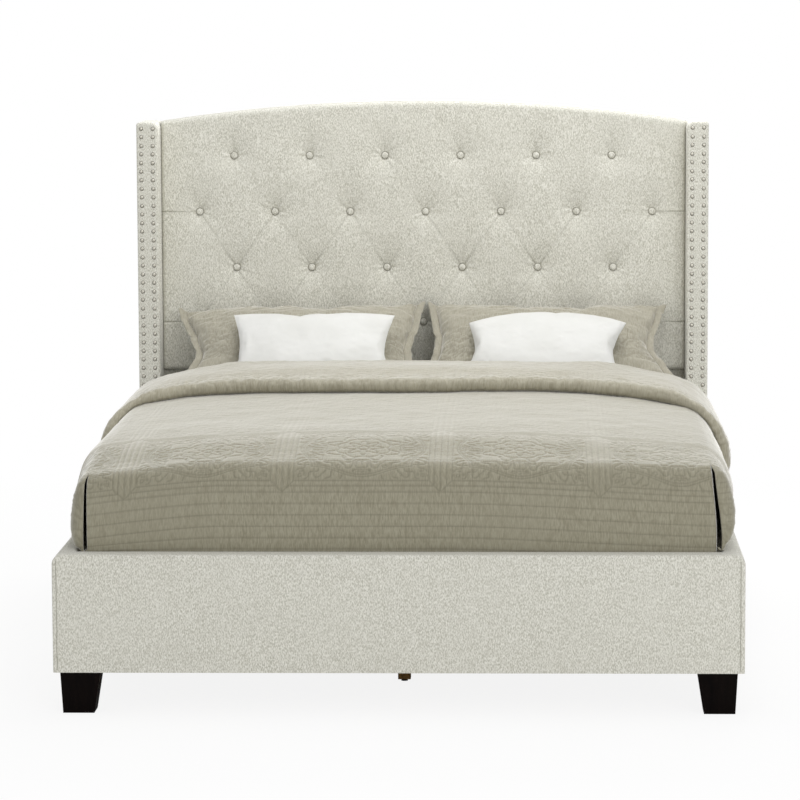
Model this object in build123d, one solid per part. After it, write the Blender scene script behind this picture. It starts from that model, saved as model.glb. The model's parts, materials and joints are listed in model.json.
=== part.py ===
from build123d import *
import math
import os

os.makedirs("parts", exist_ok=True)

# A queen bed: an upholstered frame with a tufted, arched headboard between two wings,
# a footboard, side rails, a slatted base on three centre legs, a mattress and its bedding.
# Millimetres. The foot faces -Y, the headboard is at +Y, +Z is up, and the origin is on
# the floor under the middle of the bed.

# A queen mattress sets the frame's width and length
mattress_width = 1524.0
mattress_length = 2032.0
mattress_thickness = 254.0
mattress_side_gap = 20.0
mattress_foot_gap = 22.0
mattress_head_gap = 21.0
mattress_sink = 48.0

# Heights
wing_height = 1356.0
arch_rise = 59.0
leg_height = 101.6
panel_height = 289.4

# Upholstery over the wooden cores
padding = 8.0
wrap = 2.0

# Footboard and side rails
footboard_thickness = 50.0
footboard_corner = 25.0
rail_thickness = 56.0
rail_corner = 24.0
rail_inner_corner = 9.0
panel_edge_round = 7.0

# Wings
wing_depth = 195.0
wing_thickness = 64.0
wing_inner_corner = 20.0
wing_outer_corner = 9.0
wing_edge_round = 7.0

# Headboard layers, from the back to the tufted face
back_sheet = 3.0
post_depth = 40.0
post_width = 45.0
board_thickness = 12.0
pad_thickness = 60.0
lower_panel_thickness = 30.0
top_rail_height = 70.0
cross_rail_height = 50.0
pad_bottom = 614.0
pad_round = 22.0

# Tufting: rows of buttons, six and seven in turn, with pleats from button to button
tuft_margin = 107.0
row_pitch = 164.5
row_count = 4
short_row = 6
button_radius = 11.0
button_height = 9.0
button_rim = 3.0
button_crown_height = 7.2
button_crown_radius = 7.3
button_top_radius = 2.8
button_gap = 0.5
button_sides = 8
dimple_sides = 6
dimple_depth = 15.0
dimple_proud = 2.0
dimple_radius = 58.0
dimple_waist_depth = 5.4
dimple_waist_radius = 25.5
pleat_half_width = 40.0
pleat_depth = 6.0
edge_pleat_half_width = 20.0
edge_pleat_depth = 4.0
pleat_cutter_proud = 4.0

# Nailheads: two rows on the front of each wing
nail_radius = 5.5
nail_height = 3.0
nail_top_radius = 2.5
nail_pitch = 25.4
nail_edge = 15.5
nail_row_gap = 34.0
nail_sides = 6
nail_top_drop = 18.0
nail_rail_gap = 14.0

# Front and rear legs
leg_top_width = 97.0
leg_top_depth = 82.0
leg_outer_taper = 5.0
leg_inner_taper = 16.0
leg_depth_taper = 7.0
leg_inset = 17.0
leg_setback = 6.0
rear_leg_size = 60.0

# Slatted base
slat_count = 12
slat_width = 70.0
slat_thickness = 16.0
ledger_size = 28.0
beam_width = 36.0
beam_height = 60.0
hanger_plate = 3.0
hanger_depth = 40.0
centre_leg_size = 32.0
centre_leg_count = 3
centre_leg_front = 430.0
slat_end_gap = 3.0
slat_margin = 10.0

# Levelling glides under the centre legs
glide_radius = 8.5
glide_foot_height = 5.0
glide_stop_gap = 0.6
stem_radius = 4.0
stem_clearance = 0.05
stem_length = 38.0
stem_spare = 3.0

# Steel brackets and fasteners
bracket_leg = 60.0
bracket_plate = 3.0
bracket_height = 150.0
screw_spacing = 100.0
screw_offset = 36.0
screw_radius = 7.0
screw_top_radius = 4.9
screw_height = 3.5
screw_sides = 6
stud_radius = 4.0
stud_clearance = 0.3
stud_reach = 30.0
stud_end_gap = 1.0

# Mattress and quilt; the quilt's head end is turned back in a thick band
mattress_bevel = 20.0
mattress_corner = 60.0
bedding_clearance = 0.4
quilt_top = 12.0
quilt_level_in = 16.0
quilt_shoulder_out = 39.0
quilt_shoulder_drop = 42.0
quilt_bulge = 66.0
quilt_bulge_drop = 10.0
quilt_rail_rise = 2.0
quilt_hem_gap = 6.0
quilt_tuck = 16.0
quilt_crest = 42.0
quilt_belly = 3.0
quilt_head_gap = 440.0
quilt_foot_narrowing = 30.0
quilt_foot_bend = 260.0
quilt_slit = 6.0
quilt_slit_depth = 24.0
quilt_slit_out = 10.0
band_width = 135.0
band_height = 84.0
band_crest = 78.0
band_lean = 8.0
band_overhang = 7.0
band_shoulder = 125.0
band_shoulder_out = 42.0
band_side_round = 60.0
band_side_drop = 20.0
band_hem_gap = 26.0
band_hem_in = 12.0
band_hem_round = 16.0

# Pillows
sham_edge_gap = 29.0
sham_depth = 392.0
sham_flange = 48.0
sham_flange_thickness = 5.0
sham_crown = 36.0
sham_tilt = 33.0
sham_top_gap = 12.0
sham_gap = 10.0
lumbar_width = 457.0
lumbar_depth = 285.0
lumbar_crown = 37.0
lumbar_tilt = 43.0
lumbar_quilt_gap = 15.0
lumbar_in = 27.0
cushion_pull = 13.0
flange_pull = 8.0

# A pillow's half section from seam to crown: height as a share of the crown, inset as a
# share of the depth, and the swell of its sides as a share of the pull
cushion_levels = ((0.0, 0.0, -1.0), (0.42, 0.055, -0.45), (0.8, 0.17, 0.35), (1.0, 0.36, 0.8))

# How far a cutting shape reaches past the face that it cuts
spare = 1.0

# Places worked out from the sizes
head_depth = back_sheet + post_depth + board_thickness + pad_thickness
mattress_space = mattress_foot_gap + mattress_length + mattress_head_gap
overall_length = footboard_thickness + mattress_space + head_depth
foot_y = -overall_length / 2
head_y = overall_length / 2
inner_rail = mattress_width / 2 + mattress_side_gap
half_frame = inner_rail + rail_thickness
inner_head = inner_rail
half_head = inner_head + wing_thickness
foot_back_y = foot_y + footboard_thickness
wing_front_y = head_y - wing_depth
panel_top = leg_height + panel_height
arch_radius = (inner_head**2 + arch_rise**2) / (2 * arch_rise)
arch_crown = wing_height + arch_rise
arch_centre = arch_crown - arch_radius
frame_back_y = head_y - back_sheet
board_back_y = frame_back_y - post_depth
board_face_y = board_back_y - board_thickness
pad_face_y = board_face_y - pad_thickness
lower_face_y = board_face_y - lower_panel_thickness
mattress_bottom = panel_top - mattress_sink
mattress_top = mattress_bottom + mattress_thickness
slat_bottom = mattress_bottom - slat_thickness
beam_bottom = slat_bottom - beam_height
mattress_foot_y = foot_back_y + mattress_foot_gap
mattress_head_y = mattress_foot_y + mattress_length
leg_foot_z = glide_foot_height + glide_stop_gap
ledger_inner = inner_rail - ledger_size
button_pitch = 2 * (inner_head - tuft_margin) / short_row
sham_width = (mattress_width - sham_gap) / 2 - sham_edge_gap
sham_x = (sham_width + sham_gap) / 2
quilt_level = mattress_top + quilt_top
quilt_foot_y = foot_back_y + quilt_hem_gap
quilt_head_y = pad_face_y - quilt_head_gap
quilt_low = panel_top - quilt_tuck
quilt_wide = mattress_width / 2 + quilt_bulge
front_stud_x = half_frame - leg_inset - leg_top_width / 2
front_stud_y = foot_y + footboard_thickness / 2


def block(x0, x1, y0, y1, z0, z1):
    centre = Pos((x0 + x1) / 2, (y0 + y1) / 2, (z0 + z1) / 2)
    return centre * Box(x1 - x0, y1 - y0, z1 - z0)


def mirrored(shape):
    return mirror(shape, about=Plane.YZ)


def save(node, shape):
    export_step(shape, f"parts/{node}.step")


def save_pair(name, right_shape):
    save(f"{name}_right", right_shape)
    save(f"{name}_left", mirrored(right_shape))


def group(solids):
    return Compound(children=list(solids))


def rod(start, direction, radius, length):
    plane = Plane(origin=start, z_dir=direction)
    return extrude(plane * Circle(radius), amount=length)


def bored(shape, holes):
    for start, direction, radius, length in holes:
        shape = shape - rod(start, direction, radius, length)
    return shape


def ring(centre, direction, radius, sides):
    """A regular polygon whose flats lie radius from its centre, square to direction."""
    plane = Plane(origin=centre, z_dir=direction)
    return plane * RegularPolygon(radius, sides, major_radius=False)


def face_xz(corners, radii, y):
    """A rounded outline in the XZ plane at y, from corners and one radius for each."""
    outline = Polyline([(x, y, z) for x, z in corners], close=True)
    shape = make_face(outline)
    for corner, radius in zip(corners, radii):
        if radius > 0:
            near = shape.vertices().sort_by_distance((corner[0], y, corner[1]))[0]
            shape = fillet(near, radius)
    return shape


def extruded_y(shape, length):
    return extrude(shape, amount=length, dir=(0, 1, 0))


def arch_face(half_width, bottom, inset, y):
    """The headboard outline in the XZ plane at y, with its arched top lowered by inset."""
    radius = arch_radius - inset
    side_z = arch_centre + math.sqrt(radius**2 - half_width**2)
    crown = (0, y, arch_centre + radius)
    left_low = (-half_width, y, bottom)
    right_low = (half_width, y, bottom)
    left_top = (-half_width, y, side_z)
    right_top = (half_width, y, side_z)
    top = ThreePointArc(left_top, crown, right_top)
    sides = Polyline(right_top, right_low, left_low, left_top)
    return make_face([top, sides])


def make_footboard():
    corners = [
        (-half_frame, leg_height),
        (half_frame, leg_height),
        (half_frame, panel_top),
        (-half_frame, panel_top),
    ]
    radii = [0, 0, footboard_corner, footboard_corner]
    body = extruded_y(face_xz(corners, radii, foot_y), footboard_thickness)
    front = body.faces().sort_by(Axis.Y)[0]
    rounded = front.edges().filter_by(lambda e: e.center().Z > leg_height + spare)
    body = fillet(rounded, panel_edge_round)
    core_corners = [
        (-half_frame + padding, leg_height),
        (half_frame - padding, leg_height),
        (half_frame - padding, panel_top - padding),
        (-half_frame + padding, panel_top - padding),
    ]
    core_radii = [0, 0, footboard_corner - padding, footboard_corner - padding]
    core_depth = footboard_thickness - padding - wrap
    core = extruded_y(face_xz(core_corners, core_radii, foot_y + padding), core_depth)
    cover = body - core
    for side in (-1, 1):
        start = (side * front_stud_x, front_stud_y, leg_height - spare)
        depth = spare + stud_reach + stud_end_gap
        hole = (start, (0, 0, 1), stud_radius + stud_clearance, depth)
        core = bored(core, [hole])
    save("footboard_core", core)
    save("footboard_cover", cover)


def rail_profile(inset_out, inset_in, inset_top, radii, y):
    corners = [
        (inner_rail + inset_in, leg_height),
        (half_frame - inset_out, leg_height),
        (half_frame - inset_out, panel_top - inset_top),
        (inner_rail + inset_in, panel_top - inset_top),
    ]
    return face_xz(corners, radii, y)


def make_side_rails():
    length = wing_front_y - foot_back_y
    outer_radii = [0, 0, rail_corner, rail_inner_corner]
    core_radii = [0, 0, rail_corner - padding, 0]
    body = extruded_y(rail_profile(0, 0, 0, outer_radii, foot_back_y), length)
    core = extruded_y(rail_profile(padding, wrap, padding, core_radii, foot_back_y), length)
    cover = body - core
    save_pair("side_rail_core", core)
    save_pair("side_rail_cover", cover)
    ledger = block(
        ledger_inner,
        inner_rail,
        foot_back_y + bracket_leg,
        wing_front_y - bracket_leg,
        slat_bottom - ledger_size,
        slat_bottom,
    )
    save_pair("slat_ledger", ledger)


def make_wings():
    corners = [
        (inner_head, leg_height),
        (half_head, leg_height),
        (half_head, wing_height),
        (inner_head, wing_height),
    ]
    radii = [0, 0, wing_outer_corner, wing_inner_corner]
    body = extruded_y(face_xz(corners, radii, wing_front_y), wing_depth)
    front = body.faces().sort_by(Axis.Y)[0]
    rounded = front.edges().filter_by(lambda e: e.center().Z > leg_height + spare)
    body = fillet(rounded, wing_edge_round)
    core_corners = [
        (inner_head + padding, leg_height),
        (half_head - padding, leg_height),
        (half_head - padding, wing_height - padding),
        (inner_head + padding, wing_height - padding),
    ]
    core_radii = [0, 0, 0, wing_inner_corner - padding]
    core_depth = wing_depth - padding - back_sheet
    core_face = face_xz(core_corners, core_radii, wing_front_y + padding)
    core = extruded_y(core_face, core_depth)
    cover = body - core
    save_pair("wing_core", core)
    save_pair("wing_cover", cover)


def make_headboard_frame():
    outline = arch_face(inner_head, leg_height, back_sheet, board_back_y)
    slab = extruded_y(outline, post_depth)
    low_slab = extruded_y(
        arch_face(inner_head, leg_height, back_sheet + top_rail_height, board_back_y),
        post_depth,
    )
    post_inner = inner_head - post_width
    post_box = block(post_inner, inner_head, board_back_y, frame_back_y, 0, arch_crown)
    post = slab & post_box
    save_pair("headboard_post", post)
    middle = block(-post_inner, post_inner, board_back_y, frame_back_y, 0, arch_crown)
    save("headboard_top_rail", (slab - low_slab) & middle)
    low = leg_height
    high = low + cross_rail_height
    save(
        "headboard_bottom_rail",
        block(-post_inner, post_inner, board_back_y, frame_back_y, low, high),
    )
    low = pad_bottom - cross_rail_height / 2
    high = low + cross_rail_height
    save(
        "headboard_middle_rail",
        block(-post_inner, post_inner, board_back_y, frame_back_y, low, high),
    )
    board_outline = arch_face(inner_head, leg_height, back_sheet, board_face_y)
    save("headboard_board", extruded_y(board_outline, board_thickness))
    skin = extruded_y(arch_face(inner_head, leg_height, 0, board_face_y), head_y - board_face_y)
    filling = extruded_y(
        arch_face(inner_head, leg_height, back_sheet, board_face_y),
        frame_back_y - board_face_y,
    )
    save("headboard_back_cover", skin - filling)
    save(
        "headboard_lower_panel",
        block(-inner_head, inner_head, lower_face_y, board_face_y, leg_height, pad_bottom),
    )


def button_places():
    """Centres of the buttons as (x, z), row by row from the top."""
    places = []
    for row in range(row_count):
        count = short_row + row % 2
        z = arch_crown - row_pitch * (row + 1)
        for i in range(count):
            places.append(((i - (count - 1) / 2) * button_pitch, z, row))
    return places


def pleat_cutter(start, end, half_width, depth):
    """A channel with two round flanks that meet in a crease, along start to end."""
    along = Vector(end[0] - start[0], 0, end[1] - start[1])
    plane = Plane(
        origin=(start[0], pad_face_y, start[1]),
        x_dir=along.normalized().cross(Vector(0, -1, 0)),
        z_dir=along.normalized(),
    )
    sign = 1 if plane.y_dir.Y > 0 else -1
    lid_y = -sign * pleat_cutter_proud
    left = (-half_width, 0)
    right = (half_width, 0)
    crease = (0, sign * depth)
    flank_right = TangentArc(right, crease, tangent=(-1, 0))
    flank_left = TangentArc(left, crease, tangent=(1, 0))
    lid = Polyline(right, (half_width, lid_y), (-half_width, lid_y), left)
    section = plane * make_face([flank_right, flank_left, lid])
    return extrude(section, amount=along.length, dir=tuple(along.normalized()))


def dimple_cutter(x, z):
    """The flared hollow that a button draws into the pad, down to its flat seat."""
    seat = button_radius + button_gap
    levels = (
        (dimple_depth, seat),
        (dimple_waist_depth, dimple_waist_radius),
        (-dimple_proud, dimple_radius),
    )
    rings = [
        ring((x, pad_face_y + depth, z), (0, 1, 0), radius, dimple_sides)
        for depth, radius in levels
    ]
    return loft(rings, ruled=True)


def diagonal_runs(places):
    """The long pleats: each runs through its buttons from row to row, both ways."""
    half = button_pitch / 2
    known = {(round(x, 1), row) for x, z, row in places}
    runs = []
    for x, z, row in places:
        for side in (-1, 1):
            before = (round(x - side * half, 1), row - 1)
            if before in known:
                continue
            steps = 0
            while (round(x + side * half * (steps + 1), 1), row + steps + 1) in known:
                steps += 1
            if steps > 0:
                end = (x + side * half * steps, z - row_pitch * steps)
                runs.append(((x, z), end))
    return runs


def make_tufted_pad():
    pad = extruded_y(arch_face(inner_head, pad_bottom, 0, pad_face_y), pad_thickness)
    front = pad.faces().sort_by(Axis.Y)[0]
    pad = fillet(front.edges(), pad_round)
    places = button_places()
    cutters = [
        pleat_cutter(start, end, pleat_half_width, pleat_depth)
        for start, end in diagonal_runs(places)
    ]
    for x, z, row in places:
        edges = []
        if row == 0:
            edges.append((x, arch_crown + spare))
        if row == row_count - 1:
            edges.append((x, pad_bottom - spare))
        if abs(x) > button_pitch * short_row / 2 - spare:
            edges.append((math.copysign(inner_head + spare, x), z))
        for end in edges:
            cutters.append(pleat_cutter((x, z), end, edge_pleat_half_width, edge_pleat_depth))
    cutters += [dimple_cutter(x, z) for x, z, row in places]
    pad = pad - cutters
    save("tufted_pad", pad)
    buttons = []
    seat_y = pad_face_y + dimple_depth
    levels = (
        (0.0, button_radius),
        (button_rim, button_radius),
        (button_crown_height, button_crown_radius),
        (button_height, button_top_radius),
    )
    for x, z, row in places:
        rings = [
            ring((x, seat_y - up, z), (0, 1, 0), radius, button_sides) for up, radius in levels
        ]
        buttons.append(loft(rings, ruled=True))
    save("tuft_buttons", group(buttons))


def make_nailheads():
    nails = []
    columns = (inner_head + nail_edge, inner_head + nail_edge + nail_row_gap)
    top = wing_height - nail_top_drop
    count = int((top - panel_top - nail_rail_gap) / nail_pitch) + 1
    for x in columns:
        for i in range(count):
            z = top - i * nail_pitch
            base = Plane(origin=(x, wing_front_y, z), z_dir=(0, -1, 0))
            low = base * RegularPolygon(nail_radius, nail_sides)
            high = base.offset(nail_height) * RegularPolygon(nail_top_radius, nail_sides)
            nails.append(loft([low, high], ruled=True))
    save_pair("wing_nailheads", group(nails))


def make_legs():
    outer = half_frame - leg_inset
    front = foot_y + leg_setback
    inner = outer - leg_top_width
    back = front + leg_top_depth
    top = Plane.XY.offset(leg_height) * (
        Pos((outer + inner) / 2, (front + back) / 2) * Rectangle(leg_top_width, leg_top_depth)
    )
    low_outer = outer - leg_outer_taper
    low_inner = inner + leg_inner_taper
    low_front = front + leg_depth_taper
    low_back = back - leg_depth_taper
    low = Pos((low_outer + low_inner) / 2, (low_front + low_back) / 2) * Rectangle(
        low_outer - low_inner, low_back - low_front
    )
    leg = loft([low, top], ruled=True)
    start = (front_stud_x, front_stud_y, leg_height + spare)
    depth = spare + stud_reach + stud_end_gap
    stud_hole = (start, (0, 0, -1), stud_radius + stud_clearance, depth)
    save_pair("front_leg", bored(leg, [stud_hole]))
    half = rear_leg_size / 2
    rear = block(
        inner_head - half,
        inner_head + half,
        head_y - back_sheet - rear_leg_size,
        head_y - back_sheet,
        0,
        leg_height,
    )
    save_pair("rear_leg", rear)


def centre_leg_places():
    first = foot_y + centre_leg_front
    return [first * (1 - i / (centre_leg_count - 1) * 2) for i in range(centre_leg_count)]


def make_base():
    span = wing_front_y - foot_back_y - 2 * bracket_leg - 2 * slat_margin - slat_width
    first = foot_back_y + bracket_leg + slat_margin + slat_width / 2
    half = inner_rail - slat_end_gap
    for i in range(slat_count):
        y = first + span * i / (slat_count - 1)
        low = y - slat_width / 2
        slat = block(-half, half, low, low + slat_width, slat_bottom, mattress_bottom)
        save(f"slat_{i + 1:02d}", slat)
    beam = block(
        -beam_width / 2,
        beam_width / 2,
        foot_back_y + hanger_plate,
        lower_face_y - hanger_plate,
        beam_bottom,
        slat_bottom,
    )
    for i, y in enumerate(centre_leg_places()):
        size = centre_leg_size / 2
        leg = block(-size, size, y - size, y + size, leg_foot_z, beam_bottom)
        bore_top = glide_foot_height + stem_length + stem_spare
        bore_low = leg_foot_z - spare
        bore_radius = stem_radius + stem_clearance
        bore = ((0, y, bore_low), (0, 0, 1), bore_radius, bore_top - bore_low)
        save(f"centre_leg_{i + 1}", bored(leg, [bore]))
        foot = rod((0, y, 0), (0, 0, 1), glide_radius, glide_foot_height)
        stem = rod((0, y, glide_foot_height), (0, 0, 1), stem_radius, stem_length)
        save(f"levelling_glide_{i + 1}", foot + stem)
    save("centre_beam", beam)
    studs = []
    for side in (-1, 1):
        start = (side * front_stud_x, front_stud_y, leg_height - stud_reach)
        studs.append(rod(start, (0, 0, 1), stud_radius, stud_reach * 2))
    save("front_leg_studs", group(studs))
    hangers = []
    for face_y, sign in ((foot_back_y, 1), (lower_face_y, -1)):
        outer = beam_width / 2 + hanger_plate
        far = face_y + sign * (hanger_plate + hanger_depth)
        y0, y1 = sorted((face_y, far))
        shell = block(-outer, outer, y0, y1, beam_bottom - hanger_plate, slat_bottom)
        inner_y = face_y + sign * hanger_plate
        y0, y1 = sorted((inner_y, far + sign * spare))
        hollow = block(-beam_width / 2, beam_width / 2, y0, y1, beam_bottom, slat_bottom + spare)
        hangers.append(shell - hollow)
    save("beam_hangers", group(hangers))


def screw_head(seat, direction):
    low = ring(seat, direction, screw_radius, screw_sides)
    top = tuple(s + d * screw_height for s, d in zip(seat, direction))
    high = ring(top, direction, screw_top_radius, screw_sides)
    return loft([low, high], ruled=True)


def make_brackets():
    """Corner brackets at the foot and flat straps from the rails to the wings, with screws."""
    middle = panel_top - panel_height / 2
    low = middle - bracket_height / 2
    high = middle + bracket_height / 2
    face_x = inner_rail - bracket_plate
    along_rail = block(face_x, inner_rail, foot_back_y, foot_back_y + bracket_leg, low, high)
    along_foot = block(
        inner_rail - bracket_leg, inner_rail, foot_back_y, foot_back_y + bracket_plate, low, high
    )
    strap = block(
        face_x, inner_rail, wing_front_y - bracket_leg, wing_front_y + bracket_leg, low, high
    )
    brackets = [along_rail + along_foot, strap]
    save("rail_brackets", group(brackets + [mirrored(b) for b in brackets]))
    heads = []
    for z in (middle - screw_spacing / 2, middle + screw_spacing / 2):
        for y in (foot_back_y + screw_offset, wing_front_y - screw_offset, wing_front_y + screw_offset):
            heads.append(screw_head((face_x, y, z), (-1, 0, 0)))
        seat = (inner_rail - screw_offset, foot_back_y + bracket_plate, z)
        heads.append(screw_head(seat, (0, 1, 0)))
    save("bracket_screws", group(heads + [mirrored(h) for h in heads]))


def mattress_solid(grow):
    half = mattress_width / 2 + grow
    body = block(
        -half,
        half,
        mattress_foot_y - grow,
        mattress_head_y + grow,
        mattress_bottom - grow,
        mattress_top + grow,
    )
    body = fillet(body.edges().filter_by(Axis.Z), mattress_corner + grow)
    top = body.faces().sort_by(Axis.Z)[-1]
    return chamfer(top.edges(), mattress_bevel + grow)


def across_profile(y):
    """The quilt across the bed: a flat top, round shoulders and drops that swell outwards."""
    half = mattress_width / 2
    hem = inner_rail - quilt_hem_gap
    level = (half - quilt_level_in, y, quilt_level)
    shoulder = (half + quilt_shoulder_out, y, quilt_level - quilt_shoulder_drop)
    bulge = (quilt_wide, y, (quilt_level + panel_top) / 2 - quilt_bulge_drop)
    tuck = (hem, y, panel_top + quilt_rail_rise)
    right = [
        TangentArc(level, shoulder, tangent=(1, 0, 0)),
        ThreePointArc(shoulder, bulge, tuck),
        Line(tuck, (hem, y, quilt_low)),
    ]
    left = [mirror(curve, about=Plane.YZ) for curve in right]
    top = Line((-level[0], y, quilt_level), level)
    bottom = Line((hem, y, quilt_low), (-hem, y, quilt_low))
    return make_face(right + left + [top, bottom])


def along_profile():
    """The quilt along the bed: a foot drop with a slight belly, turned over a round crest."""
    crest_low = quilt_level - quilt_crest
    middle = (0, quilt_foot_y - quilt_belly, (quilt_low + crest_low) / 2)
    drop = ThreePointArc((0, quilt_foot_y, quilt_low), middle, (0, quilt_foot_y, crest_low))
    crest_end = (0, quilt_foot_y + quilt_crest, quilt_level)
    turn = TangentArc((0, quilt_foot_y, crest_low), crest_end, tangent=(0, 0, 1))
    head_top = (0, quilt_head_y, quilt_level)
    head_low = (0, quilt_head_y, quilt_low)
    return make_face([drop, turn, Polyline(crest_end, head_top, head_low, (0, quilt_foot_y, quilt_low))])


def plan_profile():
    """The quilt from above: straight sides that draw in towards the foot."""
    wide = quilt_wide + spare
    narrow = wide - quilt_foot_narrowing
    foot = quilt_foot_y - quilt_belly - spare
    bend = quilt_foot_y + quilt_foot_bend
    right = TangentArc((wide, bend, 0), (narrow, foot, 0), tangent=(0, -1, 0))
    left = mirror(right, about=Plane.YZ)
    far = Polyline((wide, bend, 0), (wide, quilt_head_y, 0), (-wide, quilt_head_y, 0), (-wide, bend, 0))
    return make_face([right, left, Line((narrow, foot, 0), (-narrow, foot, 0)), far])


def turned_back_band():
    """The head end of the quilt, folded back on itself in a thick roll across the bed."""
    front = quilt_head_y - band_width
    crest = front + band_crest
    crown = quilt_level + band_height
    low = panel_top + band_hem_gap
    back_drop = quilt_head_y - crest
    over = TangentArc((0, crest, crown), (0, front, quilt_level), tangent=(0, -1, 0))
    back = TangentArc((0, crest, crown), (0, quilt_head_y, crown - back_drop), tangent=(0, 1, 0))
    under = Polyline(
        (0, front, quilt_level),
        (0, front + band_lean, low),
        (0, quilt_head_y, low),
        (0, quilt_head_y, crown - back_drop),
    )
    roll = extrude(make_face([over, back, under]), amount=half_head, dir=(1, 0, 0), both=True)
    wide = quilt_wide + band_overhang
    shoulder = mattress_width / 2 + band_shoulder_out
    side_z = (low + quilt_level) / 2 - band_side_drop
    right = [
        (wide - band_hem_in, low, band_hem_round),
        (wide, side_z, band_side_round),
        (shoulder, crown, band_shoulder),
    ]
    left = [(-x, z, radius) for x, z, radius in reversed(right)]
    corners = [(x, z) for x, z, radius in right + left]
    radii = [radius for x, z, radius in right + left]
    start = front - band_lean
    return roll & extruded_y(face_xz(corners, radii, start), quilt_head_y - start)


def make_quilt():
    start = quilt_foot_y - quilt_belly - spare
    across = extruded_y(across_profile(start), quilt_head_y - start)
    along = extrude(along_profile(), amount=half_frame, dir=(1, 0, 0), both=True)
    plan = extrude(plan_profile(), amount=quilt_level + spare)
    sheet = across & along & plan
    quilt = sheet + turned_back_band() - mattress_solid(bedding_clearance)
    slit_top = quilt_level - quilt_crest
    for side in (-1, 1):
        x = side * (mattress_width / 2 + quilt_slit_out)
        quilt = quilt - block(
            x - quilt_slit / 2,
            x + quilt_slit / 2,
            start,
            quilt_foot_y + quilt_slit_depth,
            quilt_low - spare,
            slit_top,
        )
    save("quilt", quilt)


def outline_at(half_w, half_d, sag, z):
    """Four arcs between four corners; a positive sag swells each side, a negative draws it in."""
    a = (-half_w, -half_d, z)
    b = (half_w, -half_d, z)
    c = (half_w, half_d, z)
    d = (-half_w, half_d, z)
    arcs = [
        ThreePointArc(a, (0, -half_d - sag, z), b),
        ThreePointArc(b, (half_w + sag, 0, z), c),
        ThreePointArc(c, (0, half_d + sag, z), d),
        ThreePointArc(d, (-half_w - sag, 0, z), a),
    ]
    return make_face(arcs)


def cushion(width, depth, crown, pull):
    """A crowned pillow, flat in XY, with its seam at z = 0 and sides drawn in at the seam."""
    half_w = width / 2
    half_d = depth / 2
    sections = []
    for height, inset, sag in cushion_levels:
        step = inset * depth
        sections.append(outline_at(half_w - step, half_d - step, sag * pull, height * crown))
    upper = loft(sections)
    return upper + mirror(upper, about=Plane.XY)


def rested(shape, rest_z):
    """The shape moved straight down or up until its lowest point is just above rest_z."""
    return Pos(0, 0, rest_z + bedding_clearance - shape.bounding_box().min.Z) * shape


def make_pillows():
    inner_width = sham_width - 2 * sham_flange
    inner_depth = sham_depth - 2 * sham_flange
    body = cushion(inner_width, inner_depth, sham_crown, cushion_pull)
    flange_face = outline_at(sham_width / 2, sham_depth / 2, -flange_pull, 0)
    flange = extrude(flange_face, amount=sham_flange_thickness / 2, both=True)
    sham = Rot(X=sham_tilt) * (body + flange)
    back = pad_face_y - sham_top_gap - sham.bounding_box().max.Y
    sham = rested(Pos(sham_x, back, 0) * sham, mattress_top)
    save_pair("sham", sham)
    lumbar = Rot(X=lumbar_tilt) * cushion(lumbar_width, lumbar_depth, lumbar_crown, cushion_pull)
    forward = quilt_head_y + lumbar_quilt_gap - lumbar.bounding_box().min.Y
    lumbar = rested(Pos(sham_x - lumbar_in, forward, 0) * lumbar, mattress_top)
    save_pair("lumbar_pillow", lumbar)


make_footboard()
make_side_rails()
make_wings()
make_headboard_frame()
make_tufted_pad()
make_nailheads()
make_legs()
make_base()
make_brackets()
save("mattress", mattress_solid(0))
make_quilt()
make_pillows()
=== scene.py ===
import json
import math

import bmesh
import bpy
import numpy as np
from mathutils import Euler, Matrix, Vector


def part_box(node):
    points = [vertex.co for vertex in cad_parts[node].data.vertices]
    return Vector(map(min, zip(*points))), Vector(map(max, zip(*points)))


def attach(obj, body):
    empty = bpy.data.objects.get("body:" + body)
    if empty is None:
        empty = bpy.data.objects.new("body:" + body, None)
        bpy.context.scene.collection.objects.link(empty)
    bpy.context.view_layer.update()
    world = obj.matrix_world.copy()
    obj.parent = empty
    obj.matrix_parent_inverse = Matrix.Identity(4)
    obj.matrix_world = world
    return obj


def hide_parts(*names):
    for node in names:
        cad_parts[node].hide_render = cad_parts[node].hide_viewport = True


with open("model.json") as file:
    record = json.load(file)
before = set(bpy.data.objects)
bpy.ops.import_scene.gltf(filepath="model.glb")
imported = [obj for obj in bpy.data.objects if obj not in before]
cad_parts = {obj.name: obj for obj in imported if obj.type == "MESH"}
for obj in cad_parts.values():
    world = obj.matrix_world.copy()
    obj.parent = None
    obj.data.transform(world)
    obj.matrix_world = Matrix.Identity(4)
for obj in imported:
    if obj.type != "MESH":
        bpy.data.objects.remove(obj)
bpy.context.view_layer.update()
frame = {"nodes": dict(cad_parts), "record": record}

# A dressed queen bed with a tufted headboard between two wings. Everything is in metres, in
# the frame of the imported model: the foot faces -Y, the headboard is at +Y and +Z is up.

FRAME_PIXELS = 800.0

# Camera: place, downward tilt, turn and roll, with its focal length and centre in photo pixels
CAMERA_AT = (0.3183, -9.5778, 1.7459)
CAMERA_PITCH = 0.11516
CAMERA_TURN = 0.02262
CAMERA_ROLL = -0.00252
FOCAL_PIXELS = 3552.4
PRINCIPAL_X = 450.0
SENSOR = 36.0

# Tufting: arch and pitches as in the solid pad, with the rows shifted as the photograph shows
ARCH_RISE = 0.059
PAD_ROUND = 0.014
BUTTON_PITCH = 0.225
ROW_PITCH = 0.1645
ROW_COUNTS = (6, 7, 6, 7)
BUTTON_SEAT = 0.0112
DIMPLE_DEPTH = 0.0160
# Shares of a hollow that are steep and wide, with how far each reaches
STEEP_SHARE, STEEP_REACH = 0.60, 0.014
WIDE_SHARE, WIDE_REACH = 0.40, 0.044
# Factors on the height above and below a button, as the hollow reaches further above it
HOLLOW_ABOVE, HOLLOW_BELOW = 0.68, 1.05
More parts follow.
